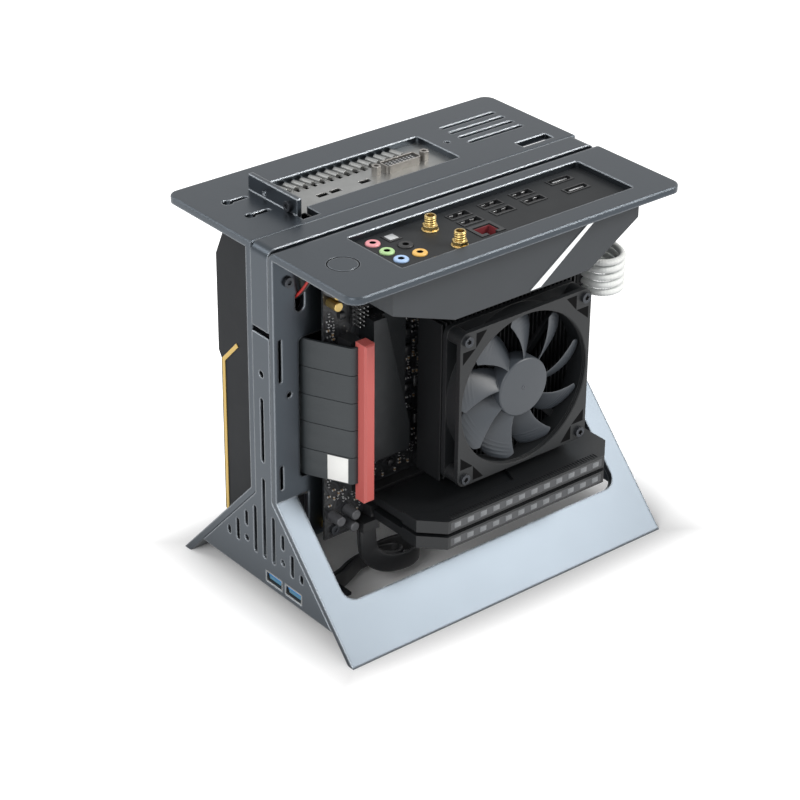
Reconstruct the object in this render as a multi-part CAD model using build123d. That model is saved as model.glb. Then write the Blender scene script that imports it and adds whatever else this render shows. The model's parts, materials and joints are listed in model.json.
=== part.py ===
from build123d import *
import math
import os

# Open test bench for a small mainboard: two folded panels stand back to back on a
# hollow spine, the board hangs on one, the graphics card on the other.
# Millimetres. X runs along the bench with the front data sockets at -X, the board
# faces -Y, the card faces +Y, and the feet stand on Z = 0.

# Folded panels
LENGTH = 224.0
HEIGHT = 217.0
SHEET = 4.0
SPINE_Y = -2.8
SPINE_GAP = 14.6
FOOT_REACH = 77.2
BOARD_PLATE_REACH = 77.2
CARD_PLATE_REACH = 82.8
BEND_Z = 70.4
BOARD_BEND_R = 5.5
CARD_BEND_R = 1.2
PLATE_CORNER_R = 7.0
RIM_R = 1.0

# Leg windows and the board's tongue
WINDOW_BORDER = 14.0
WINDOW_DEPTH = 63.0
WINDOW_R = 8.0
TONGUE_SIDE = 7.5
TONGUE_BELOW = 5.4

# Spine cover and end plates
COVER_T = 3.0
TAB_DROP = 46.6
COVER_BEND_R = 5.0
END_T = 3.0
END_GAP = 3.6
END_BOTTOM = 14.0
SLOT_W = 3.0
SLOT_PITCH = 8.2
SLOT_BOTTOM = 30.7
SLOT_TOPS = (80.9, 60.3, 53.3, 44.5, 36.2)
SPLIT_SLOT_BOTTOM = 43.7
DOT_RISE = 5.2
DOT_R = 1.9
UPPER_SLOT_Z = (90.8, 129.5)
UPPER_HOLE_DROP = 23.0
UPPER_HOLE_R = 2.0

# Screws and spacers through the walls
SCREW_INSET = 9.8
SCREW_DROPS = (18.4, 83.9)
SCREW_R = 1.5
SCREW_GAP = 0.1
HEAD_R = 2.9
HEAD_H = 1.7
SOCKET_R = 1.3
SOCKET_DEPTH = 0.9
SPACER_R = 4.0
EDGE_SLOT_INSET = 3.0
EDGE_SLOT_W = 2.2
EDGE_SLOT_DROPS = ((51.0, 74.0), (126.0, 138.5))

# Power button
BUTTON_X = -90.8
BUTTON_OUT = 30.9
BUTTON_R = 8.0
BUTTON_GAP = 0.3
BUTTON_T = 3.5
BUTTON_TRAVEL = 1.5
STEM_R = 3.0
STEM_L = 7.0
SWITCH_WALL = 2.6
SWITCH_H = 9.8
TERMINAL_W = 6.0
TERMINAL_D = 3.0
TERMINAL_H = 6.0
TERMINAL_DROP = 6.5

# Lead hole in the board wall
LEAD_HOLE_X = -94.8
LEAD_HOLE_DROP = 31.4
LEAD_HOLE_L = 12.0
LEAD_HOLE_W = 6.0

# Front data sockets
FRONT_SOCKET_Y = (-10.9, -28.2)
FRONT_SOCKET_W = 14.4
FRONT_SOCKET_H = 6.4
FRONT_SOCKET_Z = 20.4
FRONT_SOCKET_DEPTH = 15.0
SHELL_T = 0.5
TONGUE_T = 2.2
TONGUE_INSET = 1.2
PROUD = 0.4
FRONT_BOARD_T = 1.6
FRONT_BOARD_DEPTH = 26.0
FRONT_BOARD_W = 44.0

# Mainboard
BOARD_SIZE = 170.0
BOARD_X0 = -86.0
PCB_T = 1.6
STANDOFF_H = 6.5
STANDOFF_R = 3.0
EDGE_GAP = 0.3
HOLE_SIDE = 6.35
HOLE_TOP = 10.16
HOLE_SPAN = 154.94
BOARD_HOLE_R = 1.95
BOARD_HEAD_R = 2.8

# Rear connector opening and shield
IO_FROM_EDGE = 15.3
IO_W = 158.75
IO_D = 44.45
IO_R = 1.5
SHIELD_T = 1.2
SHIELD_RIM = 2.0
FIT = 0.2

# Connectors, measured along the shield and out from the board's face
JACK_COLUMNS = (11.0, 23.2)
JACK_ROWS = (7.4, 19.0, 30.4)
JACK_R = 4.0
JACK_BORE_R = 1.8
JACK_RISE = 1.0
JACK_BLOCK_EDGE = 6.4
CONNECTOR_DEPTH = 15.0
OPTICAL_W = 8.0
OPTICAL_DOOR_W = 5.6
POST_ALONG = 45.2
POST_OUT = (12.0, 35.6)
POST_R = 3.17
POST_H = 8.2
POST_FLANGE_R = 4.6
POST_FLANGE_H = 1.5
POST_PIN_R = 1.1
DATA_COLUMNS = (68.0, 90.0, 112.0)
DATA_ROWS = (7.8, 17.3)
DATA_W = 14.0
DATA_H = 6.8
DATA_WALL = 0.8
DATA_DEPTH = 9.0
NET_OUT = 29.4
NET_W = 16.0
NET_H = 13.0
NET_MOUTH_W = 12.0
NET_MOUTH_H = 8.4
VIDEO_ALONG = 139.6
VIDEO_ROWS = (7.2, 20.4)
VIDEO_W = 16.0
VIDEO_H = 6.0
VIDEO_DEPTH = 7.0
VIDEO_MOUTH = 5.0

# Angular cover over the connectors
COVER_OUT = 47.8
COVER_BACK = 4.0
COVER_WALL = 2.0
COVER_X = (-79.0, 89.5)
COVER_LEFT_DROP = 17.8
COVER_LOW_DROP = 32.6
COVER_LEFT_RUN = 41.0
COVER_RIGHT_RUN = 34.5
COVER_RIGHT_DROP = 11.3
STRIPE_T = 0.5
STRIPE_TOP_X = 58.0
STRIPE_LOW_X = 16.5
STRIPE_TOP_W = 4.0
STRIPE_LOW_W = 7.0
STRIPE_MARGIN = 2.0

# Pieces on the board
SINK_X = (-63.0, -38.5)
SINK_DROP = (123.5, 39.5)
SINK_H = 13.0
SINK_CUT = 16.0
SLOT_X = -73.0
CARD_SLOT_W = 7.5
CARD_SLOT_H = 11.2
CARD_SLOT_L = 89.0
CARD_SLOT_DROP = 48.5
SLIT_W = 2.0
SLIT_DEPTH = 8.0
MEMORY_X = (-59.8, 76.9)
MEMORY_PITCH = 9.7
MEMORY_EDGE = 11.3
MEMORY_SOCKET_W = 6.6
MEMORY_SOCKET_H = 7.0
MEMORY_CARD_L = 133.35
MEMORY_CARD_T = 1.2
MEMORY_SEAT = 3.5
SPREADER_T = 7.4
SPREADER_OUT = 57.3
SPREADER_LIFT = 9.0
SPREADER_CUT = 12.0
SPREADER_STEP = 1.2
LIGHT_H = 4.6
LIGHT_DEPTH = 2.0
GOLD_CAP_R = 2.7
GOLD_CAP_H = 8.0
GOLD_CAP_SPOTS = ((4.2, 20.8), (4.2, 27.4))
DARK_CAP_R = 2.9
DARK_CAP_H = 9.0
DARK_CAP_SPOTS = ((4.6, 155.8), (13.8, 162.6), (14.8, 155.4))
POWER_SOCKET_X = 5.2
POWER_SOCKET_W = 9.6
POWER_SOCKET_L = 52.0
POWER_SOCKET_DROP = 29.0
POWER_SOCKET_H = 12.0
POWER_PLUG_H = 12.0

# Processor cooler and its fan
COOLER_X = 15.1
COOLER_DROP = 91.4
CPU_W = 40.0
CPU_H = 7.3
COOLER_BASE_H = 4.0
COOLER_W = 94.0
COOLER_PLATE = 2.5
FIN_H = 16.5
FIN_T = 0.8
FIN_COUNT = 33
FAN_W = 92.0
FAN_T = 14.0
FAN_CORNER_R = 5.0
FAN_BORE_R = 44.6
FAN_RING = 1.2
FAN_FLANGE = 3.0
FAN_SCREW_SPAN = 82.5
FAN_POST_R = 4.4
STRUT_W = 4.0
STRUT_T = 2.2
MOTOR_R = 16.4
SHAFT_R = 1.5
SHAFT_GAP = 0.05
HUB_R = 17.0
HUB_EDGE_R = 1.2
TIP_GAP = 1.4
HUB_RECESS = 0.8
ROTOR_GAP = 0.5
BLADE_T = 1.2
CPU_BLADES = 9
BLADE_COVER = 0.88
BLADE_STATIONS = ((0, 46, 0.0, 1.0), (0.45, 34, 0.06, 1.0), (0.8, 27, 0.2, 0.98), (1.03, 23, 0.36, 0.62))

# Riser between the board's slot and the graphics card
PLUG_W = 6.8
PLUG_D = 8.3
PLUG_OUT = 22.8
PLUG_L = 94.0
PLUG_EDGE = 1.0
RIBBON_COUNT = 5
RIBBON_PITCH = 16.3
RIBBON_W = 15.9
RIBBON_T = 1.6
RIBBON_DROP = 81.2
RIBBON_X = -92.8
RIBBON_RADII = (4.0, 6.0, 24.0, 3.2)
RIBBON_BEND_Y = -12.0
RIBBON_TAIL = 3.0
RIBBON_SEAT = 1.4
RIBBON_BACK = 4.5
RIBBON_OUT = 4.2
CUTOUT_X = (-96.0, -62.0)
CUTOUT_MARGIN = 1.0
CUTOUT_R = 3.0

# Graphics card
CARD_X = (-92.0, 41.0)
CARD_Y = 27.4
CARD_GAP = 0.8
FINGER_W = 8.0
BRACKET_T = 1.0
BRACKET_RIM = 3.5
BAY_X = (-71.5, 41.2)
BAY_Y = (20.6, 57.5)
BAY_R = 1.5
NOTCH_X = -63.5
NOTCH_Y = 9.2
FLANGE_T = 3.0
FLANGE_H = 9.0
FLANGE_Y = (14.6, 57.0)
FLANGE_HOLE_Y = 42.9
FLANGE_SCREW_Y = 21.8
FLANGE_SCREW_Z = 3.0
LOUVRE_COUNT = 15
LOUVRE_X = (-56.0, 22.5)
LOUVRE_Y = 51.5
LOUVRE_L = 9.5
LOUVRE_R = 1.9
LOUVRE_TURN = 14.0
LOUVRE_MOUTH = 3.2
PORT_X = (-42.8, -34.2, -14.2)
PORT_Y = 34.2
PORT_W = 7.0
PORT_H = 3.6
VIDEO_PLUG_X = 13.0
VIDEO_PLUG_Y = 37.6
VIDEO_PLUG_W = 24.0
VIDEO_PLUG_D = 8.0
VIDEO_PLUG_H = 4.6
NUT_SPAN = 33.3
NUT_R = 2.8
NUT_H = 5.2
SHROUD_X = (-97.0, 38.0)
SHROUD_TOP_DROP = 5.0
SHROUD_WALL = 2.0
SHROUD_LIFT = 1.6
SHROUD_TOP_D = 18.4
SHROUD_MID_D = 27.6
SHROUD_LOW_D = 25.2
SHROUD_CHAMFER = 20.0
SHROUD_CORNER = 5.0
SHROUD_STEP_DROP = 81.7
SHROUD_STEP_H = 4.0
GPU_FAN_EDGE = 5.9
GPU_DUCT = 1.5
GPU_HUB_R = 16.5
GPU_HUB_T = 8.6
GPU_BLADES = 11
GPU_SINK_BASE = 3.0
GPU_SINK_H = 9.0
GPU_SINK_T = 0.9
GPU_SINK_COUNT = 25
GPU_SINK_INSET = 7.5
LINE_T = 0.4
LINE_W = 2.4
LINE_START = (10.0, 13.5)

# Keyholes, vents and cut-out in the card plate
KEYHOLE_Y = (50.0, 29.7)
KEYHOLE_X = (-93.2, -82.1)
KEYHOLE_R = 2.9
KEYHOLE_SLOT = 1.6
VENT_Y = (57.2, 49.2, 41.2, 33.3)
VENT_X = (57.8, 98.0)
VENT_W = 3.2
PLATE_HOLE = (48.9, 40.8)
PLATE_HOLE_R = 1.7
SLIT_X = (77.5, 100.0)
SLIT_Y = (9.6, 16.8)

# Cables held between the pieces, with routes chosen by eye
ARC_SHARE = 0.45
WIRE_R = 2.0
WIRE_PITCH = 4.5
WIRE_COUNT = 5
WIRE_DROP = 48.5
WIRE_ROUTE = ((0, 0), (0, -6.5), (4, -12.5), (11.5, -14.5), (18.5, -11.5), (23, -4), (24.5, 6), (24, 18))
CABLE_HOLE_X = (91.0, 107.0)
CABLE_HOLE_EDGE = 2.0
COUPLER_W = 9.0
LEAD_R = 0.75
LEAD_PITCH = 2.0
LEAD_ROUTE = ((0, 0, 0), (0, 7.5, 0), (-3.6, 13.3, -13), (-4.4, 21, -21), (-5, 28, -25.5),
              (-5.2, 31, -36), (-5.1, 30, -71), (-5.2, 29, -109), (-5.1, 30, -149))
FLAT_W = 10.0
FLAT_T = 1.8
FLAT_LIFT = 4.0
FLAT_AWAY = -15.5
FLAT_REACH = -19.0
FLAT_RADII = (22.0, 22.0, 5.2, 5.2)
HEADER_X = 25.0
HEADER_W = 11.0
HEADER_D = 6.0
HEADER_H = 9.0
HEADER_EDGE = 1.0

# Places worked out from the sizes above
HALF = LENGTH / 2
WALL_IN = SPINE_GAP / 2
WALL_OUT = WALL_IN + SHEET
BOARD_WALL = SPINE_Y - WALL_OUT
BOARD_WALL_IN = SPINE_Y - WALL_IN
CARD_WALL = SPINE_Y + WALL_OUT
CARD_WALL_IN = SPINE_Y + WALL_IN
UNDER = HEIGHT - SHEET
SHIELD_UNDER = UNDER - SHIELD_T
BOARD_TOP = SHIELD_UNDER - EDGE_GAP
BOARD_LOW = BOARD_TOP - BOARD_SIZE
BOARD_X1 = BOARD_X0 + BOARD_SIZE
SINK_Z = [BOARD_TOP - drop for drop in SINK_DROP]
BACK = BOARD_WALL - STANDOFF_H
FACE = BACK - PCB_T
IO_X0 = BOARD_X0 + IO_FROM_EDGE
IO_Y1 = FACE
LEAN = math.atan2(FOOT_REACH - WALL_OUT, BEND_Z)
BEND_DROP = SHEET * math.tan(LEAN / 2)
FOOT_IN = FOOT_REACH - SHEET / math.cos(LEAN)
BOARD_HOLES = [(BOARD_X0 + side, BOARD_TOP - HOLE_TOP - drop)
               for side in (HOLE_SIDE, BOARD_SIZE - HOLE_SIDE) for drop in (0, HOLE_SPAN)]
TONGUE_LOW = BOARD_HOLES[1][1] - TONGUE_BELOW
SCREW_SPOTS = [(side * (HALF - SCREW_INSET), HEIGHT - drop) for side in (-1, 1) for drop in SCREW_DROPS]
SLOT_TOP = BOARD_TOP - CARD_SLOT_DROP
RIBBON_Z = SLOT_TOP - RIBBON_DROP
PLUG_Z = SLOT_TOP - CARD_SLOT_L / 2 - PLUG_L / 2
CUTOUT_Z = (RIBBON_Z - CUTOUT_MARGIN, RIBBON_Z + RIBBON_COUNT * RIBBON_PITCH + CUTOUT_MARGIN)
COOLER_Z = BOARD_TOP - COOLER_DROP
FAN_BACK = FACE - CPU_H - COOLER_BASE_H - COOLER_PLATE - FIN_H
FAN_FRONT = FAN_BACK - FAN_T
BRACKET_LOW = UNDER - BRACKET_T
CARD_FACE = CARD_Y + PCB_T
CARD_BOTTOM = BEND_Z - WINDOW_DEPTH * math.cos(LEAN) + CARD_GAP
CARD_TOP = BRACKET_LOW - EDGE_GAP
SHROUD_TOP = CARD_TOP - SHROUD_TOP_DROP
SHROUD_STEP_Z = SHROUD_TOP - SHROUD_STEP_DROP
GPU_FAN_SPAN = (SHROUD_TOP - CARD_BOTTOM) / 2
GPU_FAN_R = GPU_FAN_SPAN / 2 - GPU_FAN_EDGE
GPU_FAN_X = sum(SHROUD_X) / 2
GPU_FAN_Z = (CARD_BOTTOM + 1.5 * GPU_FAN_SPAN, CARD_BOTTOM + 0.5 * GPU_FAN_SPAN)
FAN_FLOOR = CARD_FACE + GPU_SINK_BASE + GPU_SINK_H
MEMORY_ROWS = [BOARD_LOW + MEMORY_EDGE + k * MEMORY_PITCH for k in (0, 1)]
POWER_X0 = BOARD_X1 - POWER_SOCKET_X - POWER_SOCKET_W
POWER_Z1 = BOARD_TOP - POWER_SOCKET_DROP
PLUG_TOP = FACE - POWER_SOCKET_H - POWER_PLUG_H
CONNECTOR_LOW = SHIELD_UNDER - CONNECTOR_DEPTH


def box(x, y, z):
    """A block between the given pairs of X, Y and Z."""
    size = [abs(b - a) for a, b in (x, y, z)]
    middle = [(a + b) / 2 for a, b in (x, y, z)]
    return Pos(*middle) * Box(*size)


def about(middle, width):
    """The two ends of a width about its middle."""
    return (middle - width / 2, middle + width / 2)


def rod(start, axis, length, radius):
    """A round bar from a start point along an axis."""
    return extrude(Plane(origin=start, z_dir=axis) * Circle(radius), amount=length)


def prism_x(points, x):
    """An outline in Y and Z drawn out between two X."""
    outline = make_face(Polyline([(x[0], y, z) for y, z in points], close=True))
    return extrude(outline, amount=x[1] - x[0], dir=(1, 0, 0))


def prism_y(points, y):
    """An outline in X and Z drawn out between two Y."""
    outline = make_face(Polyline([(x, y[0], z) for x, z in points], close=True))
    return extrude(outline, amount=abs(y[1] - y[0]), dir=(0, math.copysign(1, y[1] - y[0]), 0))


def prism_z(points, z):
    """An outline in X and Y drawn out between two Z."""
    outline = make_face(Polyline([(x, y, z[0]) for x, y in points], close=True))
    return extrude(outline, amount=z[1] - z[0], dir=(0, 0, 1))


def slot_bar(start, end, width, axis, depth):
    """A round-ended bar, used to cut a slot between two points along an axis."""
    first, last = Vector(*start), Vector(*end)
    plane = Plane(origin=(first + last) / 2 - Vector(*axis) * depth / 2, x_dir=last - first, z_dir=axis)
    return extrude(plane * SlotCenterToCenter((last - first).length, width), amount=depth)


def edges_near(solid, axis, spots):
    """For each spot, the nearest edge that runs along the axis."""
    along = solid.edges().filter_by(axis)
    return [along.sort_by_distance(spot)[0] for spot in spots]


def joined(pieces):
    """Several pieces as one shape."""
    pieces = list(pieces)
    whole = pieces[0]
    for piece in pieces[1:]:
        whole = whole + piece
    return whole


def out(distance):
    """The Y of a place a distance out from the board's face."""
    return FACE - distance


def along(distance):
    """The X of a place a distance along the connector shield."""
    return IO_X0 + distance


def pan_screw(seat, axis, length):
    """A pan-head screw with its head on the seat, its shank going back along the axis."""
    inward = Vector(*axis) * -1
    head = rod(seat, axis, HEAD_H, HEAD_R)
    head = head - rod(Vector(*seat) + Vector(*axis) * (HEAD_H - SOCKET_DEPTH), axis, HEAD_H, SOCKET_R)
    return head + rod(seat, tuple(inward), length, SCREW_R)


def leg_inner(z):
    """How far the leg's inner face is from the spine's middle at a height."""
    return WALL_IN + (BEND_Z - BEND_DROP - z) * math.tan(LEAN)


# Folded panels
def folded_panel(side, plate_reach, bend_r):
    """Top plate, wall and leg of one side, folded from one sheet."""
    outline = [(plate_reach, HEIGHT), (WALL_IN, HEIGHT), (WALL_IN, BEND_Z - BEND_DROP), (FOOT_IN, 0),
               (FOOT_REACH, 0), (WALL_OUT, BEND_Z), (WALL_OUT, UNDER), (plate_reach, UNDER)]
    panel = prism_x([(SPINE_Y + side * w, z) for w, z in outline], (-HALF, HALF))
    top_bend = (0, SPINE_Y + side * WALL_IN, HEIGHT)
    low_bend = (0, SPINE_Y + side * WALL_IN, BEND_Z - BEND_DROP)
    panel = fillet(edges_near(panel, Axis.X, [top_bend]), bend_r)
    panel = fillet(edges_near(panel, Axis.X, [low_bend]), SHEET)
    corners = [(x, SPINE_Y + side * plate_reach, HEIGHT - SHEET / 2) for x in (-HALF, HALF)]
    panel = fillet(edges_near(panel, Axis.Z, corners), PLATE_CORNER_R)
    rim_start = plate_reach - 2 * PLATE_CORNER_R
    top_edges = panel.edges().group_by(Axis.Z)[-1]
    rim = [edge for edge in top_edges if abs(edge.center().Y - SPINE_Y) > rim_start]
    panel = fillet(rim, RIM_R)
    return panel - leg_window(side)


def leg_window(side):
    """The cut that opens the leg between its borders, from the bend down."""
    plane = Plane(origin=(0, SPINE_Y + side * WALL_OUT, BEND_Z), x_dir=(-side, 0, 0),
                  z_dir=(0, side * math.cos(LEAN), math.sin(LEAN)))
    width = LENGTH - 2 * WINDOW_BORDER
    outline = Pos(0, -WINDOW_DEPTH / 2) * Rectangle(width, WINDOW_DEPTH)
    lower = outline.vertices().sort_by(Axis.Y)[:2]
    return extrude(plane * fillet(lower, WINDOW_R), amount=2 * SHEET, both=True)


def wall_cutout(side):
    """The riser's way through a wall."""
    outer = SPINE_Y + side * WALL_OUT
    inner = SPINE_Y + side * WALL_IN
    opening = box(CUTOUT_X, (outer, inner), CUTOUT_Z)
    return fillet(opening.edges().filter_by(Axis.Y), CUTOUT_R)


def screw_holes(side):
    """The holes for the spacers' screws in one wall."""
    start = SPINE_Y + side * WALL_IN
    return joined(rod((x, start, z), (0, side, 0), SHEET, SCREW_R + SCREW_GAP) for x, z in SCREW_SPOTS)


def board_side_panel():
    panel = folded_panel(-1, BOARD_PLATE_REACH, BOARD_BEND_R)
    tongue_x = (-HALF + WINDOW_BORDER + TONGUE_SIDE, HALF - WINDOW_BORDER - TONGUE_SIDE)
    tongue = box(tongue_x, (BOARD_WALL, BOARD_WALL_IN), (TONGUE_LOW, BEND_Z + SHEET))
    tongue_corners = [(x, BOARD_WALL, TONGUE_LOW) for x in tongue_x]
    panel = panel + fillet(edges_near(tongue, Axis.Y, tongue_corners), WINDOW_R / 2)
    opening = box((IO_X0, IO_X0 + IO_W), (IO_Y1, IO_Y1 - IO_D), (UNDER, HEIGHT))
    panel = panel - fillet(opening.edges().filter_by(Axis.Z), IO_R)
    panel = panel - rod((BUTTON_X, button_y(), UNDER), (0, 0, 1), SHEET, BUTTON_R + BUTTON_GAP)
    panel = panel - wall_cutout(-1) - screw_holes(-1)
    hole_z = HEIGHT - LEAD_HOLE_DROP
    half_hole = (LEAD_HOLE_L - LEAD_HOLE_W) / 2
    wall_mid = (BOARD_WALL + BOARD_WALL_IN) / 2
    hole_ends = [(LEAD_HOLE_X, wall_mid, hole_z + side * half_hole) for side in (-1, 1)]
    panel = panel - slot_bar(*hole_ends, LEAD_HOLE_W, (0, 1, 0), SHEET)
    for top, low in EDGE_SLOT_DROPS:
        x = -HALF + EDGE_SLOT_INSET + EDGE_SLOT_W / 2
        slot_ends = [(x, wall_mid, HEIGHT - drop) for drop in (low, top)]
        panel = panel - slot_bar(*slot_ends, EDGE_SLOT_W, (0, 1, 0), SHEET)
    cable_hole = box(CABLE_HOLE_X, (BOARD_WALL, BOARD_WALL_IN), cable_hole_z())
    panel = panel - fillet(cable_hole.edges().filter_by(Axis.Y), CUTOUT_R)
    for x, z in BOARD_HOLES:
        panel = panel - rod((x, BOARD_WALL, z), (0, 1, 0), SHEET, SCREW_R)
    return panel


def card_side_panel():
    panel = folded_panel(1, CARD_PLATE_REACH, CARD_BEND_R)
    bay = box(BAY_X, BAY_Y, (UNDER, HEIGHT))
    panel = panel - fillet(bay.edges().filter_by(Axis.Z), BAY_R)
    flange_x = (BAY_X[0] - FLANGE_T, BAY_X[0])
    panel = panel - box((flange_x[0], NOTCH_X), (NOTCH_Y, BAY_Y[0] + BAY_R), (UNDER, HEIGHT))
    flange = box(flange_x, FLANGE_Y, (UNDER, HEIGHT + FLANGE_H))
    flange = flange - rod((flange_x[0], FLANGE_HOLE_Y, HEIGHT + FLANGE_SCREW_Z), (1, 0, 0), FLANGE_T, SCREW_R)
    flange = flange - rod((flange_x[0], FLANGE_SCREW_Y, HEIGHT + FLANGE_SCREW_Z), (1, 0, 0), FLANGE_T,
                          SCREW_R + SCREW_GAP)
    panel = panel + flange
    mid = (UNDER + HEIGHT) / 2
    for y in KEYHOLE_Y:
        panel = panel - rod((KEYHOLE_X[0], y, UNDER), (0, 0, 1), SHEET, KEYHOLE_R)
        slot_ends = [(x, y, mid) for x in KEYHOLE_X]
        panel = panel - slot_bar(*slot_ends, 2 * KEYHOLE_SLOT, (0, 0, 1), SHEET)
    for y in VENT_Y:
        ends = [(x, y, mid) for x in (VENT_X[0] + VENT_W / 2, VENT_X[1] - VENT_W / 2)]
        panel = panel - slot_bar(ends[0], ends[1], VENT_W, (0, 0, 1), SHEET)
    panel = panel - rod((PLATE_HOLE[0], PLATE_HOLE[1], UNDER), (0, 0, 1), SHEET, PLATE_HOLE_R)
    panel = panel - box(SLIT_X, SLIT_Y, (UNDER, HEIGHT))
    return panel - wall_cutout(1) - screw_holes(1)


# Spine
def spine_cover():
    """Strip that closes the spine's top and folds down at both ends."""
    low = HEIGHT - TAB_DROP
    inner, under = HALF - COVER_T, HEIGHT - COVER_T
    outline = [(-HALF, low), (-HALF, HEIGHT), (HALF, HEIGHT), (HALF, low)]
    outline += [(inner, low), (inner, under), (-inner, under), (-inner, low)]
    cover = prism_y(outline, (BOARD_WALL_IN, CARD_WALL_IN))
    return fillet(edges_near(cover, Axis.Y, [(x, SPINE_Y, HEIGHT) for x in (-HALF, HALF)]), COVER_BEND_R)


def end_plate(side):
    """Plate that closes one end between the walls and the legs, with its pattern of slots."""
    top = HEIGHT - TAB_DROP - END_GAP
    bend = BEND_Z - BEND_DROP
    right = [(WALL_IN, top), (WALL_IN, bend), (leg_inner(END_BOTTOM), END_BOTTOM)]
    outline = [(SPINE_Y + w, z) for w, z in right] + [(SPINE_Y - w, z) for w, z in reversed(right)]
    x = sorted((side * HALF, side * (HALF - END_T)))
    plate = prism_x(outline, x)
    for column, slot_top in enumerate(SLOT_TOPS):
        for y in {SPINE_Y + column * SLOT_PITCH, SPINE_Y - column * SLOT_PITCH}:
            plate = plate - end_slot(x, y, column, slot_top)
    plate = plate - upright_slot(x, SPINE_Y, UPPER_SLOT_Z)
    return plate - rod((x[0], SPINE_Y, top - UPPER_HOLE_DROP), (1, 0, 0), END_T, UPPER_HOLE_R)


def upright_slot(x, y, z):
    """A round-ended slot through an end plate."""
    middle = (x[0] + x[1]) / 2
    return slot_bar((middle, y, z[0] + SLOT_W / 2), (middle, y, z[1] - SLOT_W / 2), SLOT_W, (1, 0, 0), END_T)


def end_slot(x, y, column, slot_top):
    """One column of the pattern: a slot, or in the second column a shorter slot over a dot."""
    if column != 2:
        return upright_slot(x, y, (SLOT_BOTTOM, slot_top))
    dot = rod((x[0], y, SLOT_BOTTOM + DOT_RISE), (1, 0, 0), END_T, DOT_R)
    return upright_slot(x, y, (SPLIT_SLOT_BOTTOM, slot_top)) + dot


def front_end_plate():
    plate = end_plate(-1)
    for y in FRONT_SOCKET_Y:
        plate = plate - front_shell_outline(y, FIT, (-HALF, -HALF + END_T))
    return plate


def front_shell_outline(y, margin, x):
    """Block of a front socket's outline, larger by a margin."""
    half_w = FRONT_SOCKET_W / 2 + margin
    half_h = FRONT_SOCKET_H / 2 + margin
    return box(x, (y - half_w, y + half_w), (FRONT_SOCKET_Z - half_h, FRONT_SOCKET_Z + half_h))


def spine_spacers():
    """Hexagonal spacers that hold the two walls apart."""
    pieces = []
    for x, z in SCREW_SPOTS:
        hexagon = Plane(origin=(x, BOARD_WALL_IN, z), z_dir=(0, 1, 0)) * RegularPolygon(SPACER_R, 6)
        spacer = extrude(hexagon, amount=SPINE_GAP)
        pieces.append(spacer - rod((x, BOARD_WALL_IN, z), (0, 1, 0), SPINE_GAP, SCREW_R + SCREW_GAP))
    return Compound(children=pieces)


def panel_screws():
    """Screws of the spacers and of the card's flange, all one size."""
    pieces = []
    for x, z in SCREW_SPOTS:
        if z == HEIGHT - SCREW_DROPS[0]:
            pieces.append(pan_screw((x, BOARD_WALL, z), (0, -1, 0), SHEET + HEAD_R))
        pieces.append(pan_screw((x, CARD_WALL, z), (0, 1, 0), SHEET + HEAD_R))
    seat = (BAY_X[0] - FLANGE_T, FLANGE_SCREW_Y, HEIGHT + FLANGE_SCREW_Z)
    pieces.append(pan_screw(seat, (-1, 0, 0), FLANGE_T))
    return Compound(children=pieces)


# Power button
def button_y():
    return BOARD_WALL - BUTTON_OUT


def power_button():
    """Flush round cap on a stem."""
    cap = rod((BUTTON_X, button_y(), HEIGHT - BUTTON_T), (0, 0, 1), BUTTON_T, BUTTON_R)
    cap = fillet(cap.edges().sort_by(Axis.Z)[-1:], BUTTON_GAP)
    return cap + rod((BUTTON_X, button_y(), HEIGHT - BUTTON_T - STEM_L), (0, 0, 1), STEM_L, STEM_R)


def terminal_y():
    """The face of the switch's terminal block, which looks at the wall."""
    return button_y() + BUTTON_R + BUTTON_GAP + SWITCH_WALL + TERMINAL_D


def button_switch():
    """Round switch body under the plate, with room for the cap's travel."""
    body_r = BUTTON_R + BUTTON_GAP + SWITCH_WALL
    body = rod((BUTTON_X, button_y(), UNDER - SWITCH_H), (0, 0, 1), SWITCH_H, body_r)
    cap_room = BUTTON_TRAVEL + BUTTON_T
    terminal_z = UNDER - TERMINAL_DROP
    body = body + box((BUTTON_X - TERMINAL_W / 2, BUTTON_X + TERMINAL_W / 2),
                      (terminal_y() - TERMINAL_D - SWITCH_WALL, terminal_y()),
                      (terminal_z - TERMINAL_H / 2, terminal_z + TERMINAL_H / 2))
    body = body - rod((BUTTON_X, button_y(), UNDER - cap_room), (0, 0, 1), cap_room, BUTTON_R + BUTTON_GAP)
    stem_low = HEIGHT - BUTTON_T - STEM_L - BUTTON_TRAVEL - BUTTON_GAP
    return body - rod((BUTTON_X, button_y(), stem_low), (0, 0, 1), UNDER - stem_low, STEM_R + BUTTON_GAP)


# Front data sockets
def front_data_sockets():
    """Two metal shells that stand through the front end plate."""
    pieces = []
    x = (-HALF, -HALF + FRONT_SOCKET_DEPTH)
    for y in FRONT_SOCKET_Y:
        shell = front_shell_outline(y, 0, x)
        pieces.append(shell - front_shell_outline(y, -SHELL_T, (x[0], x[1] - SHELL_T)))
    return Compound(children=pieces)


def front_socket_tongues():
    """The contact tongue inside each front socket."""
    pieces = []
    x = (-HALF + TONGUE_INSET, -HALF + FRONT_SOCKET_DEPTH - SHELL_T)
    low = FRONT_SOCKET_Z + SHELL_T - PROUD
    for y in FRONT_SOCKET_Y:
        half = FRONT_SOCKET_W / 2 - TONGUE_INSET
        pieces.append(box(x, (y - half, y + half), (low, low + TONGUE_T)))
    return Compound(children=pieces)


def front_board_z():
    return FRONT_SOCKET_Z - FRONT_SOCKET_H / 2


def front_board_edge():
    return -HALF + END_T + FRONT_BOARD_DEPTH


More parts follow.
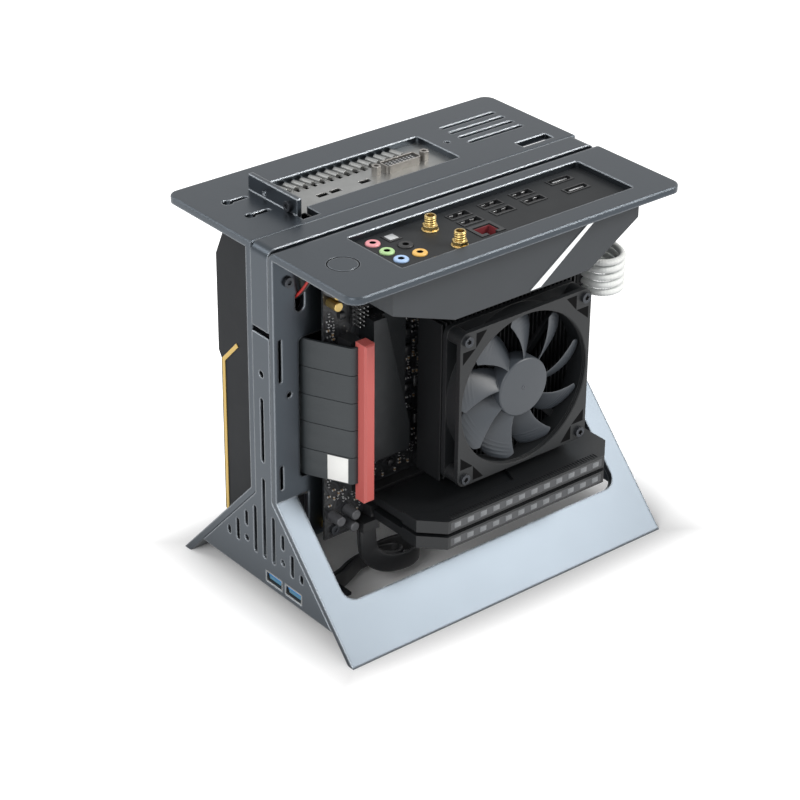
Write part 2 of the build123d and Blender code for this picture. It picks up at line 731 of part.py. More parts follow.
def front_socket_board():
    """Small board under the sockets, held on the end plate, with its cable's connector below."""
    middle = sum(FRONT_SOCKET_Y) / 2
    y = (middle - FRONT_BOARD_W / 2, middle + FRONT_BOARD_W / 2)
    low = front_board_z() - FRONT_BOARD_T
    board = box((-HALF + END_T, front_board_edge()), y, (low, front_board_z()))
    return board + box((front_board_edge() - HEADER_D, front_board_edge()),
                       (middle - HEADER_W / 2, middle + HEADER_W / 2), (FLAT_LIFT, low))


# Mainboard and what fastens it
def mainboard():
    board = box((BOARD_X0, BOARD_X1), (FACE, BACK), (BOARD_LOW, BOARD_TOP))
    for x, z in BOARD_HOLES:
        board = board - rod((x, BACK, z), (0, -1, 0), PCB_T, BOARD_HOLE_R)
    return board


def board_standoffs():
    pieces = []
    for x, z in BOARD_HOLES:
        hexagon = Plane(origin=(x, BOARD_WALL, z), z_dir=(0, -1, 0)) * RegularPolygon(STANDOFF_R, 6)
        thread = rod((x, BACK, z), (0, 1, 0), STANDOFF_H, SCREW_R + SCREW_GAP)
        pieces.append(extrude(hexagon, amount=STANDOFF_H) - thread)
    return Compound(children=pieces)


def board_screws():
    pieces = []
    for x, z in BOARD_HOLES:
        head = rod((x, FACE, z), (0, -1, 0), HEAD_H, BOARD_HEAD_R)
        head = head - rod((x, FACE - HEAD_H + SOCKET_DEPTH, z), (0, -1, 0), HEAD_H, SOCKET_R)
        pieces.append(head + rod((x, FACE, z), (0, 1, 0), PCB_T + STANDOFF_H - HEAD_H, SCREW_R))
    return Compound(children=pieces)


# Connector shield and connectors
def jack_spots():
    """Names and places of the round jacks, by column and row."""
    left, right = (along(a) for a in JACK_COLUMNS)
    rows = [out(h) for h in JACK_ROWS]
    return {"jack_pink": (left, rows[0]), "jack_green": (left, rows[1]), "jack_blue": (left, rows[2]),
            "jack_black": (right, rows[1]), "jack_orange": (right, rows[2])}


def optical_spot():
    return (along(JACK_COLUMNS[1]), out(JACK_ROWS[0]))


def post_spots():
    return [(along(POST_ALONG), out(h)) for h in POST_OUT]


def data_spots():
    return [(along(a), out(h)) for a in DATA_COLUMNS for h in DATA_ROWS]


def net_spot():
    return (along(DATA_COLUMNS[0]), out(NET_OUT))


def video_spots():
    return [(along(VIDEO_ALONG), out(h)) for h in VIDEO_ROWS]


def square(spot, width, depth, z):
    """A block round an X, Y spot between two Z."""
    return box((spot[0] - width / 2, spot[0] + width / 2), (spot[1] - depth / 2, spot[1] + depth / 2), z)


def io_shield():
    """Thin plate under the opening, cut round each connector."""
    x = (IO_X0 - SHIELD_RIM, IO_X0 + IO_W + SHIELD_RIM)
    y = (IO_Y1 - IO_D - SHIELD_RIM, IO_Y1 + SHIELD_RIM)
    z = (SHIELD_UNDER, UNDER)
    shield = box(x, y, z)
    round_holes = [(spot, JACK_R + FIT) for spot in jack_spots().values()]
    round_holes += [(spot, POST_R + FIT) for spot in post_spots()]
    cuts = [rod((*spot, SHIELD_UNDER), (0, 0, 1), SHIELD_T, radius) for spot, radius in round_holes]
    cuts += [square(spot, DATA_W + 2 * FIT, DATA_H + 2 * FIT, z) for spot in data_spots()]
    cuts += [square(spot, VIDEO_W + 2 * FIT, VIDEO_H + 2 * FIT, z) for spot in video_spots()]
    cuts.append(square(net_spot(), NET_W + 2 * FIT, NET_H + 2 * FIT, z))
    cuts.append(square(optical_spot(), OPTICAL_W + 2 * FIT, OPTICAL_W + 2 * FIT, z))
    for cut in cuts:
        shield = shield - cut
    return shield


def jack_block():
    """Dark bodies behind the jacks and the optical socket, stacked in two columns on the board."""
    left, right = [along(column) for column in JACK_COLUMNS]
    x = (left - JACK_BLOCK_EDGE, (left + right) / 2, right + JACK_BLOCK_EDGE)
    low, middle, high = JACK_ROWS
    y = (FACE, out((low + middle) / 2), out((middle + high) / 2), out(high + JACK_BLOCK_EDGE))
    bores = joined(rod((sx, sy, SHIELD_UNDER), (0, 0, -1), DATA_DEPTH, JACK_BORE_R)
                   for sx, sy in jack_spots().values())
    return Compound(children=[box(x[i:i + 2], y[j:j + 2], (CONNECTOR_LOW, SHIELD_UNDER)) - bores
                              for i in range(2) for j in range(3)])


def jack(spot):
    """Coloured ring of one jack."""
    ring = rod((spot[0], spot[1], SHIELD_UNDER), (0, 0, 1), SHIELD_T + JACK_RISE, JACK_R)
    ring = chamfer(ring.edges().sort_by(Axis.Z)[-1:], JACK_RISE / 2)
    return ring - rod((spot[0], spot[1], SHIELD_UNDER), (0, 0, 1), SHIELD_T + JACK_RISE, JACK_BORE_R)


def optical_socket():
    """Square socket with its shutter set back."""
    z = (SHIELD_UNDER, UNDER + PROUD)
    body = square(optical_spot(), OPTICAL_W, OPTICAL_W, z)
    return body - square(optical_spot(), OPTICAL_DOOR_W, OPTICAL_DOOR_W, (UNDER - PROUD, z[1]))


def antenna_posts():
    """Two threaded aerial posts with flanges on the shield."""
    pieces = []
    for x, y in post_spots():
        flange = extrude(Plane(origin=(x, y, UNDER), z_dir=(0, 0, 1)) * RegularPolygon(POST_FLANGE_R, 6),
                         amount=POST_FLANGE_H)
        post = flange + rod((x, y, CONNECTOR_LOW), (0, 0, 1), UNDER - CONNECTOR_LOW + POST_H, POST_R)
        post = chamfer(post.edges().sort_by(Axis.Z)[-1:], POST_PIN_R / 2)
        pieces.append(post - rod((x, y, UNDER + POST_H), (0, 0, -1), POST_H - POST_FLANGE_H, 2 * POST_PIN_R)
                      + rod((x, y, UNDER + POST_FLANGE_H), (0, 0, 1), POST_H - 2 * POST_FLANGE_H, POST_PIN_R))
    return Compound(children=pieces)


def rear_data_sockets():
    """Three stacks of two data sockets, each with its contact tongue."""
    stacks = []
    top = UNDER + PROUD
    mouth_low = top - DATA_DEPTH
    for a in DATA_COLUMNS:
        x = along(a)
        depth = DATA_ROWS[1] + DATA_H / 2
        stack = box((x - DATA_W / 2, x + DATA_W / 2), (out(depth), FACE), (CONNECTOR_LOW, SHIELD_UNDER))
        for h in DATA_ROWS:
            spot = (x, out(h))
            stack = stack + square(spot, DATA_W, DATA_H, (SHIELD_UNDER, top))
            stack = stack - square(spot, DATA_W - 2 * DATA_WALL, DATA_H - 2 * DATA_WALL, (mouth_low, top))
            blade = (x, out(h) - DATA_WALL)
            stack = stack + square(blade, DATA_W - 4 * DATA_WALL, TONGUE_T, (mouth_low, top - TONGUE_INSET))
        stacks.append(stack)
    return Compound(children=stacks)


def network_socket():
    """Network socket over the first stack of data sockets."""
    top = UNDER + PROUD
    low = CONNECTOR_LOW
    body = square(net_spot(), NET_W, NET_H, (low, top))
    mouth = square(net_spot(), NET_MOUTH_W, NET_MOUTH_H, (top - DATA_DEPTH, top))
    latch = square((net_spot()[0], net_spot()[1] - NET_MOUTH_H / 2), NET_MOUTH_W / 2, NET_H - NET_MOUTH_H,
                   (top - DATA_DEPTH, top))
    return body - mouth - latch


def video_sockets():
    """Two flat video sockets on one body, the lower one with cut corners."""
    top = UNDER + PROUD
    x = along(VIDEO_ALONG)
    depth = VIDEO_ROWS[1] + VIDEO_H / 2
    body = box(about(x, VIDEO_W), (out(depth), FACE), (SHIELD_UNDER - VIDEO_DEPTH, SHIELD_UNDER))
    for spot in video_spots():
        body = body + square(spot, VIDEO_W, VIDEO_H, (SHIELD_UNDER, top))
        mouth = square(spot, VIDEO_W - 2 * DATA_WALL, VIDEO_H - 2 * DATA_WALL, (top - VIDEO_MOUTH, top))
        inner_y = spot[1] - VIDEO_H / 2 + DATA_WALL
        corners = [(inner_x, inner_y, top) for inner_x in about(spot[0], VIDEO_W - 2 * DATA_WALL)]
        mouth = chamfer(edges_near(mouth, Axis.Z, corners), VIDEO_H / 4)
        body = body - mouth
        tongue_z = (top - VIDEO_MOUTH, top - TONGUE_INSET)
        body = body + square(spot, VIDEO_W - 6 * DATA_WALL, DATA_WALL, tongue_z)
    return body


# Cover and heat sink on the board
def cover_outline(inset):
    """The cover's outline seen from the board side, drawn in by an inset."""
    top = SHIELD_UNDER
    low = top - COVER_LOW_DROP + inset
    left, right = COVER_X[0] + inset, COVER_X[1] - inset
    return [(left, top), (left, top - COVER_LEFT_DROP + inset), (COVER_X[0] + COVER_LEFT_RUN, low),
            (COVER_X[1] - COVER_RIGHT_RUN, low), (right, top - COVER_RIGHT_DROP + inset), (right, top)]


def board_cover():
    """Angular shell round the connectors, open to the board and to the shield."""
    front = out(COVER_OUT)
    shell = prism_y(cover_outline(0), (out(COVER_BACK), front))
    return shell - prism_y(cover_outline(COVER_WALL), (out(COVER_BACK), front + COVER_WALL))


def cover_stripe():
    """Bright slanted bar on the cover's front."""
    top = SHIELD_UNDER - STRIPE_MARGIN
    low = SHIELD_UNDER - COVER_LOW_DROP + STRIPE_MARGIN / 2
    outline = [(STRIPE_TOP_X - STRIPE_TOP_W / 2, top), (STRIPE_TOP_X + STRIPE_TOP_W / 2, top),
               (STRIPE_LOW_X + STRIPE_LOW_W / 2, low), (STRIPE_LOW_X - STRIPE_LOW_W / 2, low)]
    return prism_y(outline, (out(COVER_OUT), out(COVER_OUT + STRIPE_T)))


def board_heatsink():
    """Tall plate beside the cooler with a slanted facet."""
    sink = box(SINK_X, (out(SINK_H), FACE), SINK_Z)
    left, right = SINK_X
    low, top = SINK_Z
    corner = [(right, top), (right, low + SINK_CUT), (left + SINK_CUT / 2, top)]
    return sink - prism_y(corner, (out(SINK_H - SINK_CUT / 4), out(SINK_H)))


# Slot, memory and small pieces
def card_slot():
    """Board slot for the riser's plug."""
    x = (SLOT_X - CARD_SLOT_W / 2, SLOT_X + CARD_SLOT_W / 2)
    slot = box(x, (out(CARD_SLOT_H), FACE), (SLOT_TOP - CARD_SLOT_L, SLOT_TOP))
    slit = box((SLOT_X - SLIT_W / 2, SLOT_X + SLIT_W / 2), (out(CARD_SLOT_H), out(CARD_SLOT_H - SLIT_DEPTH)),
               (SLOT_TOP - CARD_SLOT_L + SLIT_W, SLOT_TOP - SLIT_W))
    return slot - slit


def memory_sockets():
    """Two long sockets, each slit for a memory card."""
    pieces = []
    for z in MEMORY_ROWS:
        block = box(MEMORY_X, (out(MEMORY_SOCKET_H), FACE), about(z, MEMORY_SOCKET_W))
        slit = box(card_x(), (out(MEMORY_SOCKET_H), out(MEMORY_SEAT)), about(z, MEMORY_CARD_T))
        pieces.append(block - slit)
    return Compound(children=pieces)


def card_x():
    """The memory card's ends."""
    middle = sum(MEMORY_X) / 2
    return (middle - MEMORY_CARD_L / 2, middle + MEMORY_CARD_L / 2)


def memory_cards():
    """The two memory boards, seated in their sockets."""
    return Compound(children=[
        box(card_x(), (out(SPREADER_LIFT), out(MEMORY_SEAT)), (z - MEMORY_CARD_T / 2, z + MEMORY_CARD_T / 2))
        for z in MEMORY_ROWS])


def memory_spreader(row):
    """Heat spreader with cut outer corners, stepped faces and a groove for its light bar."""
    z = MEMORY_ROWS[row]
    faces = (z - SPREADER_T / 2, z + SPREADER_T / 2)
    edge, root = out(SPREADER_OUT), out(SPREADER_LIFT)
    x0, x1 = MEMORY_X
    outline = [(x0, root), (x0, edge + SPREADER_CUT), (x0 + SPREADER_CUT, edge), (x1 - SPREADER_CUT, edge),
               (x1, edge + SPREADER_CUT), (x1, root)]
    body = prism_z(outline, faces)
    middle = (x0 + x1) / 2
    inset = edge + SPREADER_CUT
    step = [(x0, root), (x0, inset + SPREADER_CUT), (x0 + SPREADER_CUT, inset), (middle, inset),
            (middle + SPREADER_CUT, root)]
    for low in (faces[0], faces[1] - SPREADER_STEP):
        body = body - prism_z(step, (low, low + SPREADER_STEP))
    return body - light_bar(row)


def light_bar(row):
    """The window strip in the outer edge of one spreader."""
    z = MEMORY_ROWS[row]
    edge = out(SPREADER_OUT)
    x = (MEMORY_X[0] + SPREADER_CUT + LIGHT_DEPTH, MEMORY_X[1] - SPREADER_CUT - LIGHT_DEPTH)
    return box(x, (edge, edge + LIGHT_DEPTH), (z - LIGHT_H / 2, z + LIGHT_H / 2))


def memory_lights():
    return Compound(children=[light_bar(0), light_bar(1)])


def capacitors(spots, radius, height):
    """Round capacitors at places from the board's upper corner."""
    pieces = []
    for side, drop in spots:
        can = rod((BOARD_X0 + side, FACE, BOARD_TOP - drop), (0, -1, 0), height, radius)
        pieces.append(fillet(can.edges().sort_by(Axis.Y)[:1], radius / 5))
    return Compound(children=pieces)


def board_headers():
    """Power socket at the board's far edge and the front cable's header at its lower edge."""
    x = (POWER_X0, POWER_X0 + POWER_SOCKET_W)
    socket = box(x, (out(POWER_SOCKET_H), FACE), (POWER_Z1 - POWER_SOCKET_L, POWER_Z1))
    header = (header_x() - HEADER_W / 2, header_x() + HEADER_W / 2)
    return Compound(children=[socket, box(header, (out(HEADER_H), FACE), header_z())])


def board_power_plug():
    """Plug of the board's power cables, seated on its socket."""
    x = (POWER_X0, POWER_X0 + POWER_SOCKET_W)
    z = (POWER_Z1 - POWER_SOCKET_L, POWER_Z1)
    plug = box(x, (PLUG_TOP, out(POWER_SOCKET_H)), z)
    latch_mid = (z[0] + z[1]) / 2
    latch = box((x[1], x[1] + STRUT_T), (out(POWER_SOCKET_H / 2), PLUG_TOP + STRUT_T),
                (latch_mid - STRUT_W, latch_mid + STRUT_W))
    return plug + latch


# Processor cooler
def processor_socket():
    """Processor and its socket under the cooler."""
    half = CPU_W / 2
    return box((COOLER_X - half, COOLER_X + half), (out(CPU_H), FACE), (COOLER_Z - half, COOLER_Z + half))


def cooler_fins():
    """Contact block, base plate and a row of upright fins."""
    half = COOLER_W / 2
    seat = out(CPU_H)
    contact = seat - COOLER_BASE_H
    fin_root = contact - COOLER_PLATE
    block = box(about(COOLER_X, CPU_W), (contact, seat), about(COOLER_Z, CPU_W))
    base = box((COOLER_X - half, COOLER_X + half), (fin_root, contact), (COOLER_Z - half, COOLER_Z + half))
    pitch = (COOLER_W - FIN_T) / (FIN_COUNT - 1)
    fins = []
    for k in range(FIN_COUNT):
        x = COOLER_X - half + k * pitch
        fins.append(box((x, x + FIN_T), (FAN_BACK, fin_root), (COOLER_Z - half, COOLER_Z + half)))
    return block + base + fins


def fan_frame():
    """Square fan frame: two flanges, a round duct, corner posts and the motor's seat on struts."""
    plane = Plane(origin=(COOLER_X, FAN_BACK, COOLER_Z), x_dir=(1, 0, 0), z_dir=(0, -1, 0))
    flange = extrude(RectangleRounded(FAN_W, FAN_W, FAN_CORNER_R), amount=FAN_FLANGE)
    frame = flange + Pos(0, 0, FAN_T - FAN_FLANGE) * flange
    frame = frame + extrude(Circle(FAN_BORE_R + FAN_RING), amount=FAN_T)
    spots = [(a * FAN_SCREW_SPAN / 2, b * FAN_SCREW_SPAN / 2) for a in (-1, 1) for b in (-1, 1)]
    for a, b in spots:
        frame = frame + Pos(a, b) * extrude(Circle(FAN_POST_R), amount=FAN_T)
    frame = frame - extrude(Circle(FAN_BORE_R), amount=FAN_T)
    for a, b in spots:
        frame = frame - Pos(a, b) * extrude(Circle(SCREW_R + SCREW_GAP), amount=FAN_T)
    frame = frame + motor_seat(FAN_BORE_R + FAN_RING / 2, MOTOR_R, 4, FAN_T - HUB_RECESS - BLADE_T)
    return plane.location * frame


def motor_seat(reach, seat_r, strut_count, shaft_end):
    """Disc on struts with the shaft standing on it, along +Z from Z = 0."""
    seat = extrude(Circle(seat_r), amount=STRUT_T)
    for k in range(strut_count):
        arm = Pos(reach / 2, 0, STRUT_T / 2) * Box(reach, STRUT_W, STRUT_T)
        seat = seat + Rot(0, 0, 360 * (k + 0.5) / strut_count) * arm
    return seat + extrude(Circle(SHAFT_R), amount=shaft_end)


def rotor(hub_r, tip_r, low, high, blade_count, shaft_end):
    """Fan wheel along +Z between two heights: hub with a blind bore and swept, twisted blades."""
    hub = Pos(0, 0, low) * extrude(Circle(hub_r), amount=high - low)
    hub = fillet(hub.edges().sort_by(Axis.Z)[-1:], HUB_EDGE_R)
    middle = (low + high) / 2
    wheel = hub
    for k in range(blade_count):
        turn = Rot(0, 0, 360 * k / blade_count)
        wheel = wheel + turn * blade(hub_r, tip_r, middle, high - low, blade_count)
    wheel = wheel & (Pos(0, 0, low) * extrude(Circle(tip_r), amount=high - low))
    return wheel - extrude(Circle(SHAFT_R + SHAFT_GAP), amount=shaft_end + ROTOR_GAP)


def blade(hub_r, tip_r, middle, height, count):
    """One blade, lofted through sections that widen and sweep towards the tip."""
    sections = []
    span = tip_r - hub_r + 2 * BLADE_T
    for share, twist, sweep, width in BLADE_STATIONS:
        radius = hub_r - 2 * BLADE_T + share * span
        lean = math.radians(twist)
        room = min(2 * math.pi * radius / count / math.cos(lean), height / math.sin(lean))
        plane = Plane(origin=(radius, sweep * span, middle), x_dir=(0, 1, 0), z_dir=(1, 0, 0))
        sections.append(plane * (Rot(0, 0, twist) * Rectangle(BLADE_COVER * width * room, BLADE_T)))
    return loft(sections)


def fan_rotor():
    plane = Plane(origin=(COOLER_X, FAN_BACK, COOLER_Z), x_dir=(1, 0, 0), z_dir=(0, -1, 0))
    bore_end = FAN_T - HUB_RECESS - BLADE_T - ROTOR_GAP / 2
    low, high = STRUT_T + ROTOR_GAP, FAN_T - HUB_RECESS
    return plane.location * rotor(HUB_R, FAN_BORE_R - TIP_GAP, low, high, CPU_BLADES, bore_end)


def fan_screws():
    columns, rows = about(COOLER_X, FAN_SCREW_SPAN), about(COOLER_Z, FAN_SCREW_SPAN)
    spots = [(x, FAN_FRONT, z) for x in columns for z in rows]
    return Compound(children=[pan_screw(spot, (0, -1, 0), FAN_T) for spot in spots])


# Riser
def riser_plug():
    """Plug housing on its own edge card, which stands in the board's slot."""
    x = (SLOT_X - PLUG_W / 2, SLOT_X + PLUG_W / 2)
    y = (out(PLUG_OUT), out(PLUG_OUT - PLUG_D))
    housing = box(x, y, (PLUG_Z, PLUG_Z + PLUG_L))
    front = [edge for edge in housing.edges() if abs(edge.center().Y - y[0]) < 0.01]
    housing = chamfer(front, PLUG_EDGE)
    card = box((SLOT_X - PCB_T / 2, SLOT_X + PCB_T / 2), (y[1], out(CARD_SLOT_H - SLIT_DEPTH)),
               (SLOT_TOP - CARD_SLOT_L + 2 * SLIT_W, SLOT_TOP - 2 * SLIT_W))
    return housing + card


def riser_ribbons():
    """Flat cable bands from the plug, through the walls, to the card's socket."""
    back_y = CARD_WALL + RIBBON_BACK
    plug_x = SLOT_X - PLUG_W / 2
    plug_y = out(PLUG_OUT - PLUG_D) - RIBBON_SEAT
    socket_x = riser_socket_x()
    turn_x = socket_x[1] - RIBBON_OUT
    path = FilletPolyline((turn_x, riser_socket_y()[0], 0), (turn_x, back_y, 0), (RIBBON_X, back_y, 0),
                          (RIBBON_X, RIBBON_BEND_Y, 0), (plug_x - RIBBON_TAIL, plug_y, 0),
                          (plug_x, plug_y, 0), radius=RIBBON_RADII)
    band = extrude(trace(path, RIBBON_T), amount=RIBBON_W)
    return Compound(children=[Pos(0, 0, RIBBON_Z + k * RIBBON_PITCH) * band for k in range(RIBBON_COUNT)])


def riser_socket_x():
    return (CARD_X[1] + FIT, CARD_X[1] + FIT + CARD_SLOT_H)


def riser_socket_y():
    middle = CARD_Y + PCB_T / 2
    return (middle - CARD_SLOT_W / 2, middle + CARD_SLOT_W / 2)


def riser_socket():
    """Socket on the card's edge fingers."""
    x, y = riser_socket_x(), riser_socket_y()
    block = box(x, y, (SLOT_TOP - CARD_SLOT_L, SLOT_TOP))
    return block - box((x[0], x[0] + FINGER_W), (CARD_Y, CARD_FACE), finger_z())


def finger_z():
    return (SLOT_TOP - CARD_SLOT_L + SLIT_W, SLOT_TOP - SLIT_W)


# Graphics card
def card_pcb():
    board = box(CARD_X, (CARD_Y, CARD_FACE), (CARD_BOTTOM, CARD_TOP))
    return board + box((CARD_X[1], CARD_X[1] + FIT + FINGER_W), (CARD_Y, CARD_FACE), finger_z())


def card_bracket():
    """Steel bracket under the bay with louvres and port holes."""
    x = (BAY_X[0] - BRACKET_RIM, BAY_X[1] + BRACKET_RIM)
    y = (BAY_Y[0] - BRACKET_RIM, BAY_Y[1] + BRACKET_RIM)
    bracket = box(x, y, (BRACKET_LOW, UNDER))
    pitch = (LOUVRE_X[1] - LOUVRE_X[0]) / (LOUVRE_COUNT - 1)
    hood = Rot(90, 0, 0) * Cylinder(LOUVRE_R, LOUVRE_L)
    hood = hood & box((-LOUVRE_R, LOUVRE_R), (-LOUVRE_L, LOUVRE_L), (0, LOUVRE_R))
    mouth = Pos(0, -LOUVRE_L / 2, 0) * Box(2 * LOUVRE_R, LOUVRE_MOUTH, 4 * BRACKET_T)
    for k in range(LOUVRE_COUNT):
        place = Pos(LOUVRE_X[0] + k * pitch, LOUVRE_Y, UNDER) * Rot(0, 0, LOUVRE_TURN)
        bracket = bracket + place * hood - place * mouth
    for px in PORT_X:
        bracket = bracket - square((px, PORT_Y), PORT_W, PORT_H, (BRACKET_LOW, UNDER))
    return bracket - box((BAY_X[0], NOTCH_X), (NOTCH_Y, BAY_Y[0] + BAY_R), (BRACKET_LOW, UNDER))


def card_video_connector():
    """Video connector shell on the bracket with its two hexagonal nuts."""
    spot = (VIDEO_PLUG_X, VIDEO_PLUG_Y)
    shell = square(spot, VIDEO_PLUG_W, VIDEO_PLUG_D, (UNDER, UNDER + VIDEO_PLUG_H))
    shell = fillet(shell.edges().filter_by(Axis.Z), VIDEO_PLUG_D / 4)
    mouth = square(spot, VIDEO_PLUG_W - 2 * DATA_WALL, VIDEO_PLUG_D - 2 * DATA_WALL,
                   (UNDER + DATA_WALL, UNDER + VIDEO_PLUG_H))
    pieces = [shell - mouth]
    for side in (-1, 1):
        centre = (VIDEO_PLUG_X + side * NUT_SPAN / 2, VIDEO_PLUG_Y, UNDER)
        nut = extrude(Plane(origin=centre, z_dir=(0, 0, 1)) * RegularPolygon(NUT_R, 6), amount=NUT_H)
        pieces.append(nut - rod((centre[0], centre[1], UNDER + NUT_H), (0, 0, -1), NUT_H / 2, NUT_R / 2))
    return Compound(children=pieces)


def card_heatsink():
    """Base on the card's chips with a row of fins."""
    x = (CARD_X[0] + GPU_SINK_INSET, CARD_X[1] - GPU_SINK_INSET)
    z = (CARD_BOTTOM + GPU_SINK_INSET, SHROUD_TOP - GPU_SINK_INSET)
    root = CARD_FACE + GPU_SINK_BASE
    base = box(x, (CARD_FACE, root), z)
    pitch = (z[1] - z[0] - GPU_SINK_T) / (GPU_SINK_COUNT - 1)
    lows = [z[0] + k * pitch for k in range(GPU_SINK_COUNT)]
    return base + [box(x, (root, FAN_FLOOR), (low, low + GPU_SINK_T)) for low in lows]


def shroud_outline(inset):
    """Side view of the shroud: a chamfer at the top and a step half way down."""
    back = CARD_FACE
    low = CARD_BOTTOM + inset
    top = SHROUD_TOP - inset
    mid, step = CARD_FACE + SHROUD_MID_D - inset, CARD_FACE + SHROUD_LOW_D - inset
    return [(back, top), (CARD_FACE + SHROUD_TOP_D - inset, top), (mid, SHROUD_TOP - SHROUD_CHAMFER),
            (mid, SHROUD_STEP_Z + SHROUD_STEP_H), (step, SHROUD_STEP_Z), (step, low), (back, low)]


def shroud_block(inset):
    """The shroud's outer form, or its hollow when drawn in by an inset."""
    x = (SHROUD_X[0] + inset, SHROUD_X[1] - inset)
    block = prism_x(shroud_outline(inset), x)
    corners = [(end, CARD_FACE, CARD_BOTTOM + inset) for end in x]
    return chamfer(edges_near(block, Axis.Y, corners), SHROUD_CORNER)


def card_shroud():
    """Moulded shell over the card with two fan ducts and the motors' seats."""
    shell = shroud_block(0) - shroud_block(SHROUD_WALL)
    shell = shell - box((CARD_X[0] - FIT, CARD_X[1] + FIT), (CARD_FACE, CARD_FACE + SHROUD_LIFT),
                        (CARD_BOTTOM - FIT, CARD_TOP))
    for z, depth in zip(GPU_FAN_Z, (SHROUD_MID_D, SHROUD_LOW_D)):
        length = CARD_FACE + depth - FAN_FLOOR
        shell = shell + rod((GPU_FAN_X, FAN_FLOOR, z), (0, 1, 0), length, GPU_FAN_R + 2 * GPU_DUCT)
        shell = shell - rod((GPU_FAN_X, FAN_FLOOR, z), (0, 1, 0), length, GPU_FAN_R + GPU_DUCT)
        seat = motor_seat(GPU_FAN_R + 1.5 * GPU_DUCT, GPU_HUB_R, 3, gpu_shaft())
        shell = shell + gpu_plane(z).location * seat
    return shell


def gpu_plane(z):
    return Plane(origin=(GPU_FAN_X, FAN_FLOOR, z), x_dir=(1, 0, 0), z_dir=(0, 1, 0))


def gpu_shaft():
    return STRUT_T + ROTOR_GAP + GPU_HUB_T - 2 * BLADE_T


def card_fan(z):
    low = STRUT_T + ROTOR_GAP
    wheel = rotor(GPU_HUB_R, GPU_FAN_R, low, low + GPU_HUB_T, GPU_BLADES, gpu_shaft())
    return gpu_plane(z).location * wheel


def card_stripe():
    """Bright line on the shroud's edge, slanting in at the step."""
    edge = CARD_FACE + SHROUD_LOW_D - LINE_W
    side = Plane(origin=(SHROUD_X[0], 0, 0), x_dir=(0, 1, 0), z_dir=(1, 0, 0))
    start = (CARD_FACE + LINE_START[0], SHROUD_STEP_Z + LINE_START[1])
    path = Polyline(start, (edge, SHROUD_STEP_Z), (edge, CARD_BOTTOM + LINE_W))
    return extrude(side * trace(path, LINE_W), amount=-LINE_T)


# Cables
def cable(points, radius):
    """A round cable along straight runs joined by arcs as large as the runs allow."""
    spots = [Vector(*point) for point in points]
    radii = []
    for before, corner, after in zip(spots, spots[1:], spots[2:]):
        first, second = corner - before, after - corner
        run = min(first.length, second.length)
        radii.append(ARC_SHARE * run / math.tan(math.radians(first.get_angle(second)) / 2))
    path = FilletPolyline(*points, radius=radii)
    tube = sweep(Plane(origin=path @ 0, z_dir=path % 0) * Circle(radius), path=path)
    share = tube.volume / (math.pi * radius**2 * path.length)
    print(f"cable r {radius}: length {path.length:.1f}, least arc {min(radii):.1f}, volume share {share:.4f}")
    return tube


def wire_z(k):
    """The height of one power cable."""
    return BOARD_TOP - WIRE_DROP + (k - (WIRE_COUNT - 1) / 2) * WIRE_PITCH


def cable_hole_z():
    """The height of the wall hole that the power cables pass."""
    return (wire_z(0) - WIRE_R - CABLE_HOLE_EDGE, wire_z(WIRE_COUNT - 1) + WIRE_R + CABLE_HOLE_EDGE)


def power_cables():
    """White sleeved cables that loop from the board's plug back through the wall."""
    x = POWER_X0 + POWER_SOCKET_W / 2
    hole = sum(CABLE_HOLE_X) / 2
    route = [(x + dx, PLUG_TOP + dy) for dx, dy in WIRE_ROUTE]
    route += [(hole, BOARD_WALL - 2 * WIRE_R), (hole, CARD_WALL_IN - COUPLER_W)]
    wires = [[(*spot, wire_z(k)) for spot in route] for k in range(WIRE_COUNT)]
    return Compound(children=[cable(wire, WIRE_R) for wire in wires])


def cable_coupler():
    """Connector inside the spine that the power cables end in."""
    return box(CABLE_HOLE_X, (CARD_WALL_IN - COUPLER_W, CARD_WALL_IN), cable_hole_z())


def button_leads():
    """Two thin leads from the switch, through the wall and down the spine to the front sockets' board."""
    pieces = []
    for k in (-1, 1):
        start = (BUTTON_X + k * LEAD_PITCH / 2, terminal_y(), UNDER - TERMINAL_DROP)
        points = [(start[0] + dx, start[1] + dy, start[2] + dz) for dx, dy, dz in LEAD_ROUTE]
        points.append((points[-1][0], points[-1][1], front_board_z()))
        pieces.append(cable(points, LEAD_R))
    return Compound(children=pieces)


def front_cable():
    """Flat black cable on edge, from the front sockets' board in a loop and up to the mainboard."""
    start = front_board_edge()
    y = sum(FRONT_SOCKET_Y) / 2
    head_x, head_y = header_x(), out(HEADER_H / 2)
    bend = (FLAT_REACH - start) / 4
    route = [(start, y), (start + bend, y), (start + 2 * bend, FLAT_AWAY), (FLAT_REACH, FLAT_AWAY)]
    route += [(FLAT_REACH, head_y), (head_x + FLAT_W / 2, head_y)]
    path = FilletPolyline(*route, radius=FLAT_RADII)
    band = Pos(0, 0, FLAT_LIFT) * extrude(trace(path, FLAT_T), amount=FLAT_W)
    return band + box(about(head_x, FLAT_W), about(head_y, FLAT_T), (FLAT_LIFT, header_z()[0]))


def header_x():
    return BOARD_X0 + HEADER_X


def header_z():
    return (BOARD_LOW + HEADER_EDGE, BOARD_LOW + HEADER_EDGE + HEADER_D)


